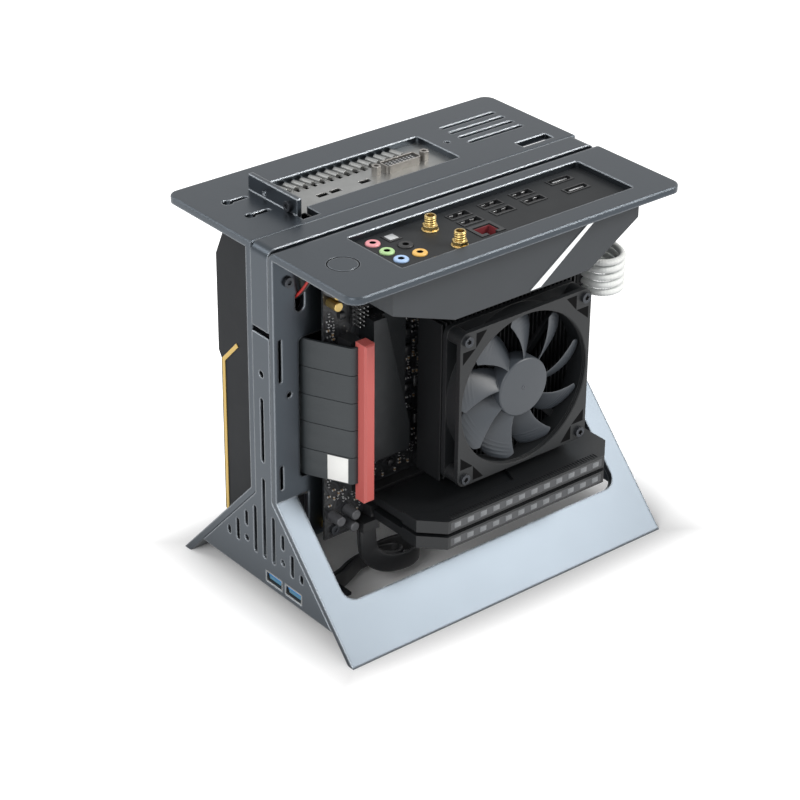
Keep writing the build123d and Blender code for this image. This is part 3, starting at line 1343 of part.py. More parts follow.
def nodes():
    """Every piece by name."""
    pieces = {
        "board_side_panel": board_side_panel(),
        "card_side_panel": card_side_panel(),
        "spine_cover": spine_cover(),
        "front_end_plate": front_end_plate(),
        "rear_end_plate": end_plate(1),
        "spine_spacers": spine_spacers(),
        "panel_screws": panel_screws(),
        "power_button": power_button(),
        "button_switch": button_switch(),
        "front_data_sockets": front_data_sockets(),
        "front_socket_tongues": front_socket_tongues(),
        "front_socket_board": front_socket_board(),
        "mainboard": mainboard(),
        "board_standoffs": board_standoffs(),
        "board_screws": board_screws(),
        "io_shield": io_shield(),
        "jack_block": jack_block(),
        "optical_socket": optical_socket(),
        "antenna_posts": antenna_posts(),
        "rear_data_sockets": rear_data_sockets(),
        "network_socket": network_socket(),
        "video_sockets": video_sockets(),
        "board_cover": board_cover(),
        "cover_stripe": cover_stripe(),
        "board_heatsink": board_heatsink(),
        "card_slot": card_slot(),
        "memory_sockets": memory_sockets(),
        "memory_cards": memory_cards(),
        "memory_spreader_lower": memory_spreader(0),
        "memory_spreader_upper": memory_spreader(1),
        "memory_lights": memory_lights(),
        "capacitors_gold": capacitors(GOLD_CAP_SPOTS, GOLD_CAP_R, GOLD_CAP_H),
        "capacitors_dark": capacitors(DARK_CAP_SPOTS, DARK_CAP_R, DARK_CAP_H),
        "board_headers": board_headers(),
        "board_power_plug": board_power_plug(),
        "processor_socket": processor_socket(),
        "cooler_fins": cooler_fins(),
        "fan_frame": fan_frame(),
        "fan_rotor": fan_rotor(),
        "fan_screws": fan_screws(),
        "riser_plug": riser_plug(),
        "riser_ribbons": riser_ribbons(),
        "riser_socket": riser_socket(),
        "card_pcb": card_pcb(),
        "card_bracket": card_bracket(),
        "card_video_connector": card_video_connector(),
        "card_heatsink": card_heatsink(),
        "card_shroud": card_shroud(),
        "card_stripe": card_stripe(),
        "card_fan_upper": card_fan(GPU_FAN_Z[0]),
        "card_fan_lower": card_fan(GPU_FAN_Z[1]),
        "power_cables": power_cables(),
        "cable_coupler": cable_coupler(),
        "button_leads": button_leads(),
        "front_cable": front_cable(),
    }
    pieces.update({name: jack(spot) for name, spot in jack_spots().items()})
    return pieces


if __name__ == "__main__":
    os.makedirs("parts", exist_ok=True)
    for name, piece in nodes().items():
        export_step(piece, f"parts/{name}.step")
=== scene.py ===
"""Finishes, fine pieces, studio light and camera for a small open computer bench."""

import json
import math

import bpy
import numpy as np
from mathutils import Matrix, Vector


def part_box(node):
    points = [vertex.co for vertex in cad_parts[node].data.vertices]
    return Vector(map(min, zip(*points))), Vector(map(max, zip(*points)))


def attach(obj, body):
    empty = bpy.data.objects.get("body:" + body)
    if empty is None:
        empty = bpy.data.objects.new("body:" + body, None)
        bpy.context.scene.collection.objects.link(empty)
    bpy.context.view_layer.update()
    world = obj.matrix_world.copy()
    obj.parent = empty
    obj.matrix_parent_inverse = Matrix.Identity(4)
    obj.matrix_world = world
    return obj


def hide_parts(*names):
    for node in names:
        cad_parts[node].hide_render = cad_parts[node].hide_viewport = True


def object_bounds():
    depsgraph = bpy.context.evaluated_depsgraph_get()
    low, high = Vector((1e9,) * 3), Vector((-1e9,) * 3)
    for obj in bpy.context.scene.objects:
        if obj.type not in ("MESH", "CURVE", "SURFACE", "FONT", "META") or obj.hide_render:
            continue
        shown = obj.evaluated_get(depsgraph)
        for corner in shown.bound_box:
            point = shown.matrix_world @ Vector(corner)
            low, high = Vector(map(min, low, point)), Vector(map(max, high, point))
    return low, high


bl_info = {
    "name": "Open Test Bench",
    "version": (1, 1, 0),
    "blender": (4, 5, 0),
    "location": "View3D > Sidebar > Test Bench",
    "description": "Finishes, fine pieces, studio light and camera for an open computer bench",
    "category": "Object",
}

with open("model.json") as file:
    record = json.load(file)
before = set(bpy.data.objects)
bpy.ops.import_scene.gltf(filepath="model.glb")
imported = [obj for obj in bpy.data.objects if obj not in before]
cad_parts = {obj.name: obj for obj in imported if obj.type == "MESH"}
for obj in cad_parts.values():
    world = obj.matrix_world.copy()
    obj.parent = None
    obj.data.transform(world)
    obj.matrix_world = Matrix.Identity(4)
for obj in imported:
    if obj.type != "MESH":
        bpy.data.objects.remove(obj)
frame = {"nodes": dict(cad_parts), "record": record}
NODES = frame["nodes"]
MOUNTS = {mount["name"]: mount for mount in frame["record"]["mounts"]}
CAD_BOX = [list(corner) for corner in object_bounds()]
MM = 0.001
# Radius left open at the axis of a turned shape, so that no ring closes to a point.
CORE = 0.02
# Directions across, along and out of a face: the bench's top, and the front face of its mainboard.
TOP_FACE = np.array([(1, 0, 0), (0, 1, 0), (0, 0, 1)], float)
BOARD_FACE = np.array([(1, 0, 0), (0, 0, 1), (0, -1, 0)], float)


def span(node):
    """Lowest and highest corner of a CAD node, in millimetres."""
    low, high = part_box(node)
    return np.array(low) / MM, np.array(high) / MM


def linear(code):
    """An sRGB hex colour as linear red, green, blue and alpha."""
    values = [int(code[k : k + 2], 16) / 255 for k in (1, 3, 5)]
    return [v / 12.92 if v <= 0.04045 else ((v + 0.055) / 1.055) ** 2.4 for v in values] + [1.0]


# Shapes


def closed_shells(grids, loop=False):
    """Points and faces of closed shells from grids[shell, ring, point].

    Each ring is joined round and to the next one. The end rings are filled with one face each, or joined to each
    other in a loop. A shell whose enclosed volume comes out below zero has its faces turned round.
    """
    count, rings, around, _ = grids.shape
    number = np.arange(count * rings * around).reshape(count, rings, around)
    rows = np.concatenate([number, number[:, :1]], axis=1) if loop else number
    ahead = np.roll(rows, -1, axis=2)
    walls = np.stack([rows[:, :-1], ahead[:, :-1], ahead[:, 1:], rows[:, 1:]], axis=-1).reshape(count, -1, 4)
    ends = np.stack([number[:, 0, ::-1], number[:, -1]], axis=1)[:, : 0 if loop else 2]
    points = grids.reshape(-1, 3)
    first, second, third, fourth = (points[walls[..., k]] for k in range(4))
    volume = np.einsum("kij,kij->k", first, np.cross(second, third) + np.cross(third, fourth))
    rims = points[ends]
    volume += np.einsum("keij,keij->k", np.broadcast_to(rims[:, :, :1], rims.shape),
                        np.cross(rims, np.roll(rims, -1, axis=2)))
    walls[volume < 0] = walls[volume < 0][..., ::-1]
    ends[volume < 0] = ends[volume < 0][..., ::-1]
    return points, walls.reshape(-1, 4).tolist() + ends.reshape(-1, around).tolist()


def piece(name, parts, body="bench", replaces=(), sharp=38.0, loop=False):
    """One object from pairs of shell grids in millimetres and a finish's name; it rides on a body."""
    mesh = bpy.data.meshes.new(name)
    points, faces, kinds, start = [], [], [], 0
    for grids, finish_name in parts:
        spots, rows = closed_shells(np.asarray(grids, float), loop)
        points.append(spots)
        faces += [[start + corner for corner in row] for row in rows]
        kinds += [len(mesh.materials)] * len(rows)
        mesh.materials.append(finish(finish_name))
        start += len(spots)
    mesh.from_pydata((np.concatenate(points) * MM).tolist(), [], faces)
    mesh.polygons.foreach_set("material_index", kinds)
    mesh.polygons.foreach_set("use_smooth", [True] * len(faces))
    mesh.set_sharp_from_angle(angle=math.radians(sharp))
    mesh.update()
    holder = bpy.data.objects.new(name, mesh)
    bpy.context.scene.collection.objects.link(holder)
    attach(holder, body)
    if replaces:
        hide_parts(*replaces)
    return holder


def blocks(bases, sizes, edge, axes):
    """Blocks with chamfered corners: an eight-sided outline raised from each base centre and drawn in at the top.

    The three rings stand at heights 0, h - edge and h, with their sides moved in by 0, 0 and edge.
    """
    bases = np.atleast_2d(np.asarray(bases, float))
    sizes = np.broadcast_to(np.asarray(sizes, float), bases.shape)
    sign = np.array([(1, 1), (1, 1), (-1, 1), (-1, 1), (-1, -1), (-1, -1), (1, -1), (1, -1)])
    cut = np.array([(0, 1), (1, 0), (1, 0), (0, 1), (0, 1), (1, 0), (1, 0), (0, 1)])
    drawn = np.array([0.0, 0.0, edge])[None, :, None, None]
    flat = sign * (sizes[:, None, None, :2] / 2 - drawn - edge * cut)
    rise = np.stack([0 * sizes[:, 2], sizes[:, 2] - edge, sizes[:, 2]], axis=1)[:, :, None, None]
    return bases[:, None, None] + flat[..., :1] * axes[0] + flat[..., 1:] * axes[1] + rise * axes[2]


def turned(profile, centres, axes, around=48):
    """Turned shapes: profile rows of radius r and height h give centre + r cos t a + r sin t b + h c."""
    radius, height = np.asarray(profile, float).T
    turn = np.linspace(0, 2 * math.pi, around, endpoint=False)
    spoke = np.cos(turn)[:, None] * axes[0] + np.sin(turn)[:, None] * axes[1]
    ring = radius[:, None, None] * spoke + height[:, None, None] * axes[2]
    return np.atleast_2d(np.asarray(centres, float))[:, None, None] + ring


def swept(line, section, side):
    """A section carried along a line: each point is line + s thick + t wide.

    wide is the part of side square to the line, and thick is square to both.
    """
    ahead = np.gradient(line, axis=0)
    ahead /= np.linalg.norm(ahead, axis=1, keepdims=True)
    side = np.broadcast_to(np.asarray(side, float), line.shape)
    wide = side - np.sum(side * ahead, axis=1, keepdims=True) * ahead
    wide /= np.linalg.norm(wide, axis=1, keepdims=True)
    thick = np.cross(ahead, wide)
    return (line[:, None] + section[..., :1] * thick[:, None] + section[..., 1:] * wide[:, None])[None]


def disc(radius, around=14):
    """A round section."""
    turn = np.linspace(0, 2 * math.pi, around, endpoint=False)
    return radius * np.stack([np.cos(turn), np.sin(turn)], axis=1)


def swept_blades(front, depth, hub=16.2, tip=43.2, count=9):
    """Fan blades as a sheet over the share s of the span and the place v across the blade, from -1 to 1.

    The angle is sweep(s) + v half(s) / radius and the height lean(s) v + a little camber. The tip is rounded off
    towards both corners, three fine ridges run along it, and the sheet is as thick as an ellipse over v.
    """
    flat_tip, tip_drops = 0.35, (3.4, 2.0)
    width_shares, half_widths = (0, 0.3, 0.6, 0.85, 1), (4.5, 6.3, 8.3, 9.3, 8.8)
    lean_shares, leans = (0, 0.5, 1), (4.5, 4.3, 3.7)
    root_half, tip_thinner, camber, first_turn = 0.62, 0.2, 0.5, -0.14
    ridge_zone, ridge_side, ridge_start, ridge_pitch, ridge_height = (0.62, 0.93), 0.2, 0.66, 0.085, 0.16
    out = np.linspace(0, 1, 60)[:, None]
    turn = np.linspace(0, 2 * math.pi, 32, endpoint=False)[None]
    across = np.cos(turn)
    corner = np.clip((np.abs(across) - flat_tip) / (1 - flat_tip), 0, 1) ** 2 * np.where(across > 0, *tip_drops)
    radius = hub + out * (tip - corner - hub)
    share = (radius - hub) / (tip - hub)
    half = np.interp(share, width_shares, half_widths)
    lean = np.interp(share, lean_shares, leans)
    sweep = 0.04 + 0.24 * share + 0.1 * share**2
    wave = np.clip(np.cos(2 * math.pi * (share - ridge_start) / ridge_pitch), 0, 1) ** 3
    ridged = (share > ridge_zone[0]) & (share < ridge_zone[1]) & (np.sin(turn) > ridge_side)
    skin = (root_half - tip_thinner * share) * np.sin(turn) + ridge_height * np.where(ridged, wave, 0)
    tilt = np.arctan2(lean, half)
    angle = sweep + (across * half - skin * np.sin(tilt)) / radius
    height = -depth / 2 + across * lean + camber * share * (1 - across**2) + skin * np.cos(tilt)
    angle = angle + (2 * math.pi * np.arange(count) / count + first_turn)[:, None, None]
    spoke = np.cos(angle)[..., None] * BOARD_FACE[0] + np.sin(angle)[..., None] * BOARD_FACE[1]
    return np.array(front) + radius[..., None] * spoke + height[..., None] * BOARD_FACE[2]


def fan_hub(front, depth, reach=17.0, bore=1.55, edge=1.2, cap=0.95):
    """The fan's hub: a turned cup with a rounded front edge and the blind bore of its shaft."""
    bend = np.linspace(0, math.pi / 2, 7)
    profile = [(CORE, -cap), (bore, -cap), (bore, -depth), (reach, -depth)]
    profile += list(zip(reach - edge + edge * np.cos(bend), edge * np.sin(bend) - edge)) + [(CORE, 0.0)]
    return turned(profile, front, BOARD_FACE, 72)


def smooth_line(route, spacing):
    """Evenly spaced points read from the NURBS spline whose control points are the route's."""
    curve = bpy.data.curves.new("route", "CURVE")
    curve.dimensions = "3D"
    curve.resolution_u = 24
    spline = curve.splines.new("NURBS")
    spline.points.add(len(route) - 1)
    spline.points.foreach_set("co", np.c_[np.asarray(route, float), np.ones(len(route))].ravel())
    spline.order_u = 3
    spline.use_endpoint_u = True
    holder = bpy.data.objects.new("route", curve)
    mesh = bpy.data.meshes.new_from_object(holder)
    spots = np.empty(3 * len(mesh.vertices))
    mesh.vertices.foreach_get("co", spots)
    spots = spots.reshape(-1, 3)
    bpy.data.meshes.remove(mesh)
    bpy.data.objects.remove(holder)
    bpy.data.curves.remove(curve)
    along = np.r_[0, np.cumsum(np.linalg.norm(np.diff(spots, axis=0), axis=1))]
    marks = np.linspace(0, along[-1], max(2, int(along[-1] / spacing)))
    return np.stack([np.interp(marks, along, spots[:, k]) for k in range(3)], axis=1)


# Finishes


def add(tree, kind, settings=None, sockets=None):
    """One shader node: settings are its attributes, sockets its input values or the outputs linked to them."""
    node = tree.nodes.new("ShaderNode" + kind)
    for key, value in (settings or {}).items():
        setattr(node, key, value)
    for key, value in (sockets or {}).items():
        if isinstance(value, bpy.types.NodeSocket):
            tree.links.new(value, node.inputs[key])
        else:
            node.inputs[key].default_value = value
    return node


def blank(name):
    """A new material with its tree, shader and object coordinates in metres."""
    material = bpy.data.materials.new(name)
    material.use_nodes = True
    tree = material.node_tree
    return tree, tree.nodes["Principled BSDF"], add(tree, "TexCoord").outputs["Object"]


def per(size):
    """The texture scale whose features are about a size in millimetres across."""
    return 1 / (size * MM)


def finish(name):
    """A finish that has been made."""
    material = bpy.data.materials.get(name)
    if material is None:
        raise RuntimeError("The finish " + name + " is not made yet: dress the parts first")
    return material


def surface(name, light, dark, rough, metallic, grain, bump, edge, patch=14.0, spread=0.04, stretch=(1, 1, 1),
            wear=1.35, shine=0.5):
    """Two close shades in soft patches, a fine grain in the relief, and rounded edges painted paler, partly as a
    painted highlight and partly for abrasion.

    grain is the relief's grain and bump its depth; edge is the radius of the rounded, paler edge and patch the size of
    the soft patches, all in millimetres. spread is how far the roughness wanders, stretch draws the grain out, and the
    edge factor is how much paler the edges are painted, where the rounded normal leaves the face's own: partly for
    abrasion, partly as a painted highlight. shine is the specular level.
    """
    tree, shader, place = blank(name)
    cloud = add(tree, "TexNoise", None, {"Vector": place, "Scale": per(patch), "Detail": 3.0})
    shade = add(tree, "Mix", {"data_type": "RGBA"}, {0: cloud.outputs[0], 6: dark, 7: light})
    gloss = add(tree, "MapRange", None, {0: cloud.outputs[0], 3: rough + spread, 4: rough - spread})
    drawn = add(tree, "Mapping", None, {"Vector": place, "Scale": stretch})
    grit = add(tree, "TexNoise", None, {"Vector": drawn.outputs[0], "Scale": per(grain), "Detail": 2.0})
    rounded_normal = add(tree, "Bevel", {"samples": 4}, {"Radius": edge * MM})
    relief = add(tree, "Bump", None, {"Height": grit.outputs[0], "Distance": bump * MM, "Normal": rounded_normal.outputs[0]})
    bend = add(tree, "VectorMath", {"operation": "DOT_PRODUCT"}, {0: rounded_normal.outputs[0],
                                                                  1: add(tree, "NewGeometry").outputs["Normal"]})
    # Edges painted paler where the rounded normal leaves the face's own: partly abrasion, partly a painted highlight.
    abrasion_and_highlight_mask = add(tree, "MapRange", None, {0: bend.outputs["Value"], 1: 0.99, 2: 0.8, 3: 0.0, 4: 1.0})
    abrasion_and_highlight_tint = [min(1.0, wear * (value + sum(light[:3]) / 3) / 2) for value in light[:3]] + [1.0]
    shade = add(tree, "Mix", {"data_type": "RGBA"}, {0: abrasion_and_highlight_mask.outputs[0], 6: shade.outputs[2], 7: abrasion_and_highlight_tint})
    tree.links.new(shade.outputs[2], shader.inputs["Base Color"])
    tree.links.new(gloss.outputs[0], shader.inputs["Roughness"])
    tree.links.new(relief.outputs[0], shader.inputs["Normal"])
    shader.inputs["Metallic"].default_value = metallic
    shader.inputs["Specular IOR Level"].default_value = shine
    return tree, shader, place, relief


def ribbed_tape(name, light, dark, pitch):
    """Flat screened tape: side-by-side conductors under a dull film, so fine ribs run along it, darker between."""
    tree, shader, place, relief = surface(name, light, dark, 0.52, 0.0, 0.5, 0.02, 0.25, 20.0)
    wave = add(tree, "TexWave", {"bands_direction": "Z"},
               {"Vector": place, "Scale": per(pitch) / 20, "Distortion": 0.0})
    ribs = add(tree, "Bump", None, {"Height": wave.outputs["Fac"], "Distance": 0.12 * MM,
                                    "Normal": relief.outputs[0]})
    tree.links.new(ribs.outputs[0], shader.inputs["Normal"])


def masked_board(name, light, dark, track):
    """Glass-fibre board under black solder mask: copper tracks stand up a little and show paler, with via dots."""
    tree, shader, place, relief = surface(name, light, dark, 0.36, 0.0, 0.6, 0.01, 0.2, 9.0)
    cells = add(tree, "TexVoronoi", {"distance": "MANHATTAN", "feature": "DISTANCE_TO_EDGE"},
                {"Vector": place, "Scale": per(7.0)})
    lanes = add(tree, "Math", {"operation": "PINGPONG"}, {0: cells.outputs[0], 1: track / 7.0})
    raised = add(tree, "MapRange", {"interpolation_type": "SMOOTHSTEP"}, {0: lanes.outputs[0], 1: 0.03, 2: 0.09})
    dots = add(tree, "TexVoronoi", None, {"Vector": place, "Scale": per(3.4)})
    via = add(tree, "MapRange", {"interpolation_type": "SMOOTHSTEP"}, {0: dots.outputs[0], 1: 0.12, 2: 0.08})
    tone = add(tree, "Mix", {"data_type": "RGBA"}, {0: raised.outputs[0], 6: dark, 7: light})
    spots = add(tree, "Mix", {"data_type": "RGBA"}, {0: via.outputs[0], 6: tone.outputs[2], 7: linear("#8a8780")})
    copper = add(tree, "Bump", None, {"Height": raised.outputs[0], "Distance": 0.05 * MM,
                                      "Normal": relief.outputs[0]})
    tree.links.new(spots.outputs[2], shader.inputs["Base Color"])
    tree.links.new(copper.outputs[0], shader.inputs["Normal"])


# Name, the record's slot if it serves one, lighter and darker shade, roughness, metallic, then grain, relief and the
# radius of the rounded edge, painted paler, in millimetres, and what differs from the usual. A shade is a hex code,
# or a colour of the look and the share of it that the darker one is.
FINISHES = (
    # Bead-blasted and anodised aluminium sheet: an even metallic sheen with no direction, and bright edges painted
    # paler, partly for abrasion and partly as a painted highlight.
    ("anodised_sheet", "panel_grey", "sheet", 0.95, 0.3, 0.9, 0.5, 0.004, 1.5,
     {"patch": 30.0, "spread": 0.01, "wear": 4.4}),
    # Zinc-plated sheet steel, rolled: bright and slightly cloudy, with faint lines one way.
    ("plated_steel", "steel", "#9b9c9b", "#898a89", 0.36, 0.9, 0.5, 0.006, 0.25,
     {"patch": 6.0, "spread": 0.05, "stretch": (0.08, 1, 1)}),
    # Nickel-plated shell of the card's video connector: grey, with a soft shine.
    ("nickel_shell", None, "#93908c", "#84817d", 0.4, 0.8, 0.5, 0.006, 0.2, {"patch": 4.0}),
    # Blackened screw steel: dark, with paler rubbed spots.
    ("blackened_steel", "steel_dark", "#4a4d52", "#303236", 0.36, 0.8, 0.6, 0.01, 0.25, {"patch": 3.0}),
    # Socket shells: their metal painted dark, a painted shade for the sockets' mouths.
    ("dark_shell", None, "#2e2f31", "#262729", 0.4, 0.4, 0.6, 0.006, 0.15, {"patch": 5.0}),
    # Nylon mouldings: dull, with the fine bite of a spark-eroded mould.
    ("black_nylon", "black_plastic", "#1d1e20", "#151618", 0.5, 0.0, 0.4, 0.012, 0.3, {}),
    ("teal_moulding", None, "#2a6f8c", "#22607c", 0.4, 0.0, 0.4, 0.008, 0.2, {}),
    ("blue_moulding", "socket_blue", "#2a7fc0", "#1f6cab", 0.42, 0.0, 0.4, 0.008, 0.2, {}),
    # Turned brass: warm, bright, with tool lines round the axis lost in the grain.
    ("turned_brass", "brass", "#c9a65a", "#b8954c", 0.3, 0.95, 0.5, 0.006, 0.2, {"patch": 3.0}),
    # Powder-painted steel sheet: dark grey with a soft orange-peel skin.
    ("painted_shield", "shield_black", "#1f2123", "#1b1d1f", 0.6, 0.0, 1.2, 0.02, 0.3, {"shine": 0.3}),
    # Glossy polypropylene jacks in the usual pale colours.
    ("pink_moulding", "jack_pink", "#e2989e", "#d88b92", 0.35, 0.0, 0.6, 0.006, 0.25, {"patch": 4.0}),
    ("green_moulding", "jack_green", "#afd396", "#a1c888", 0.35, 0.0, 0.6, 0.006, 0.25, {"patch": 4.0}),
    ("sky_moulding", "jack_blue", "#a6c3e8", "#98b7df", 0.35, 0.0, 0.6, 0.006, 0.25, {"patch": 4.0}),
    ("amber_moulding", "jack_orange", "#e6b75e", "#dcaa4e", 0.35, 0.0, 0.6, 0.006, 0.25, {"patch": 4.0}),
    # Gold flash over nickel: pale yellow metal.
    ("gold_plating", "gold", "#c2aa72", "#ad955b", 0.36, 1.0, 0.6, 0.006, 0.2, {"patch": 3.0}),
    # ABS cover, sprayed matt: dark grey with a fine even texture.
    ("grey_cover", "cover_grey", "cover", 0.9, 0.52, 0.0, 0.5, 0.014, 0.5, {"shine": 0.4}),
    # Bright-cut aluminium strip: near white with lines along it.
    ("bright_strip", "stripe_silver", "#eceeef", "#e0e2e3", 0.32, 0.9, 0.4, 0.006, 0.2,
     {"patch": 8.0, "stretch": (0.1, 1, 1)}),
    # Black anodised extrusion: a dark satin metal.
    ("black_anodised", "sink_black", "#1b1d1f", "#151719", 0.42, 0.25, 0.5, 0.01, 0.35, {}),
    # Black anodised casting, brushed upright: streaks and cloudy gloss from handling.
    ("brushed_casting", None, "#272a2d", "#17191b", 0.34, 0.45, 0.9, 0.03, 0.35,
     {"patch": 9.0, "spread": 0.14, "stretch": (1, 1, 0.06)}),
    # Milky polycarbonate diffuser and its brighter windows.
    ("milky_bar", "light_bar", "#3d3f42", "#383a3d", 0.4, 0.0, 0.6, 0.006, 0.2, {}),
    ("milky_window", None, "#76797c", "#6b6e71", 0.3, 0.0, 0.6, 0.006, 0.2, {}),
    # Aluminium can under a heat-shrunk sleeve.
    ("sleeved_can", "can_grey", "#56575a", "#46474a", 0.4, 0.4, 0.7, 0.01, 0.3, {"patch": 4.0}),
    # Glass-filled nylon of the fan. Its rotor is painted lighter than the frame, a painted highlight where the blades
    # face the main lamp.
    ("fan_moulding", "fan_grey", "fan", 0.9, 0.46, 0.0, 0.45, 0.014, 0.35, {"shine": 0.35}),
    ("rotor_moulding", None, "rotor", 0.92, 0.42, 0.0, 0.45, 0.01, 0.3, {}),
    # Polyester moulding of the riser's plug: salmon red, satin.
    ("red_moulding", "riser_red", "plug", 0.93, 0.45, 0.0, 0.5, 0.012, 0.35, {}),
    # Bare stamped fins: light grey metal.
    ("bare_fins", "fin_aluminium", "#b9bcbf", "#a9acaf", 0.36, 0.9, 0.6, 0.006, 0.2, {}),
    # ABS shroud, spark-eroded: charcoal.
    ("black_shroud", "shroud_black", "shroud", 0.9, 0.48, 0.0, 0.5, 0.014, 0.5, {"shine": 0.1}),
    # Yellow lacquer line.
    ("yellow_lacquer", "stripe_yellow", "line", 0.93, 0.3, 0.0, 0.6, 0.006, 0.2, {}),
    # Braided nylon sleeve: white strands with grey between.
    ("white_braid", "sleeve_white", "#eceeed", "#cfd3d2", 0.7, 0.0, 0.8, 0.08, 0.2, {"patch": 1.2}),
    # Soft vinyl insulation.
    ("red_lead", "lead_red", "#b3302b", "#a02824", 0.42, 0.0, 0.6, 0.006, 0.2, {}),
    ("black_cable", "cable_black", "#2a2b2d", "#222325", 0.46, 0.0, 0.6, 0.012, 0.3, {}),
    # Matt paper label, left blank.
    ("paper_label", None, "#f2f2ef", "#e9e9e6", 0.75, 0.0, 0.3, 0.01, 0.05, {}),
    # Fired ceramic and epoxy of the small parts on the board, and their tinned ends.
    ("brown_ceramic", None, "#8a7355", "#6f5b42", 0.45, 0.0, 0.3, 0.01, 0.1, {"patch": 3.0}),
    ("black_epoxy", None, "#232427", "#1a1b1d", 0.42, 0.0, 0.3, 0.012, 0.15, {}),
    ("tinned_end", None, "#b8b9ba", "#a6a7a8", 0.32, 0.95, 0.5, 0.006, 0.1, {"patch": 2.0}),
    # Dark red moulding inside the network socket, and a dull near-black that is painted shade in bores, gaps and
    # recesses.
    ("dark_red_moulding", None, "#7d2f34", "#6c282d", 0.5, 0.0, 0.5, 0.01, 0.2, {}),
    ("bore_black", None, "#0b0b0c", "#080809", 0.7, 0.0, 0.5, 0.01, 0.05, {"shine": 0.06}),
    # Clear grey polycarbonate of the light port's door.
    ("grey_door", None, "#b9bcbe", "#adb0b2", 0.35, 0.0, 0.5, 0.008, 0.2, {}),
)


def make_finishes(look):
    """Every finish, named for its material and for how its surface was made."""
    for name, _, light, dark, *values, other in FINISHES:
        if light.startswith("#"):
            light, dark = linear(light), linear(dark)
        else:
            light = getattr(look, light)
            dark = [dark * value for value in light]
        surface(name, light, dark, *values, **other)
    masked_board("solder_mask", linear("#26282b"), linear("#121315"), 0.9)
    ribbed_tape("screened_tape", linear("#2b3033"), linear("#262b2e"), 1.3)


FINISH_OF_SLOT = {slot: name for name, slot, *_ in FINISHES if slot}
FINISH_OF_SLOT.update(board_black="solder_mask", ribbon_grey="screened_tape")
# Nodes whose finish differs from the rest of their slot.
FINISH_OF_NODE = {
    "fan_rotor": "rotor_moulding", "board_heatsink": "brushed_casting", "card_video_connector": "nickel_shell",
    # Socket shells painted dark: painted shade in their mouths.
    "rear_data_sockets": "dark_shell", "video_sockets": "dark_shell", "network_socket": "dark_shell",
    "optical_socket": "black_nylon",
}


# Settings


def colour(name, text, code):
    """A colour setting with its default."""
    return bpy.props.FloatVectorProperty(name=name, description=text, size=4, subtype="COLOR", min=0.0, max=1.0,
                                         default=linear(code))


def length(name, text, size):
    """A length setting in metres, with its default given in millimetres."""
    return bpy.props.FloatProperty(name=name, description=text, default=size * MM, min=0.0, precision=5,
                                   unit="LENGTH")


def angle(name, text, degrees):
    """An angle setting, with its default given in degrees."""
    return bpy.props.FloatProperty(name=name, description=text, subtype="ANGLE", default=math.radians(degrees))


def power(name, text, watts):
    """A lamp's power setting with its default."""
    return bpy.props.FloatProperty(name=name, description=text, unit="POWER", default=watts)


class BenchLook(bpy.types.PropertyGroup):
    """Colours that a user would change."""

    sheet: colour("Sheet", "Anodised aluminium of the panels and plates", "#43494f")
    cover: colour("Cover", "Moulded cover of the mainboard's connectors", "#34383c")
    fan: colour("Fan frame", "Moulded frame of the cooler's fan", "#1b1d1f")
    # Painted lighter than the frame: a painted highlight where the blades face the main lamp.
    rotor: colour("Rotor", "Hub and blades of the cooler's fan", "#3c4147")
    shroud: colour("Card shroud", "Moulded shroud and fans of the graphics card", "#1a1c1f")
    line: colour("Line", "Lacquer line on the card's shroud", "#c9a648")
    plug: colour("Riser plug", "Moulded plug of the riser", "#ba5a55")


class BenchSizes(bpy.types.PropertyGroup):
    """Sizes of the fine pieces that a user would change."""

    thread_pitch: length("Thread pitch", "Pitch of the antenna posts' thread, drawn coarser than the real one", 1.3)
    thread_depth: length("Thread depth", "Depth of the antenna posts' thread", 0.34)
    window_width: length("Window width", "Width of a light window on the memory", 4.4)
    rib_pitch: length("Rib pitch", "Distance between the memory cooler's ribs", 1.9)
    label_width: length("Label width", "Width of the blank label on the riser's tape", 12.0)
    strand: length("Strand", "Length of one crossing of the braided sleeves", 1.5)
    lead_radius: length("Lead radius", "Radius of the button's leads", 0.75)
    part_grid: length("Part grid", "Spacing of the small parts on the mainboard", 3.0)
    windows: bpy.props.IntProperty(name="Windows", description="Light windows on each memory bar", default=12, min=1)
    seed: bpy.props.IntProperty(name="Seed", description="Seed of the small parts' places", default=7, min=0)


class BenchStage(bpy.types.PropertyGroup):
    """Camera and light."""

    azimuth: angle("Azimuth", "Camera's turn round the bench", -39.41)
    elevation: angle("Elevation", "Camera's height angle", 29.11)
    roll: angle("Roll", "Camera's tilt", 0.575)
    distance: length("Distance", "Camera's distance from its target", 1349.5)
    lens: bpy.props.FloatProperty(name="Lens", description="Focal length in millimetres", default=110.0, min=1.0)
    key_power: power("Key", "Power of the main lamp", 32.0)
    left_power: power("Left", "Power of the left lamp", 18.0)
    rim_power: power("Rim", "Power of the lamp behind", 7.0)
    top_power: power("Top", "Power of the top lamp", 2.0)
    sky: bpy.props.FloatProperty(name="Sky", description="Strength of the light from all round", default=0.5, min=0.0)
    floor: colour("Floor", "Paper that the bench stands on", "#f2f2f2")


# Pieces


class BENCH_OT_dress(bpy.types.Operator):
    """Gives every solid the finish of its material"""

    bl_idname = "bench.dress"
    bl_label = "Dress the parts"

    def execute(self, context):
        make_finishes(context.scene.bench_look)
        for part in frame["record"]["subparts"]:
            mesh = NODES[part["node"]].data
            mesh.materials.clear()
            mesh.materials.append(finish(FINISH_OF_NODE.get(part["node"], FINISH_OF_SLOT[part["material_slot"]])))
        return {"FINISHED"}


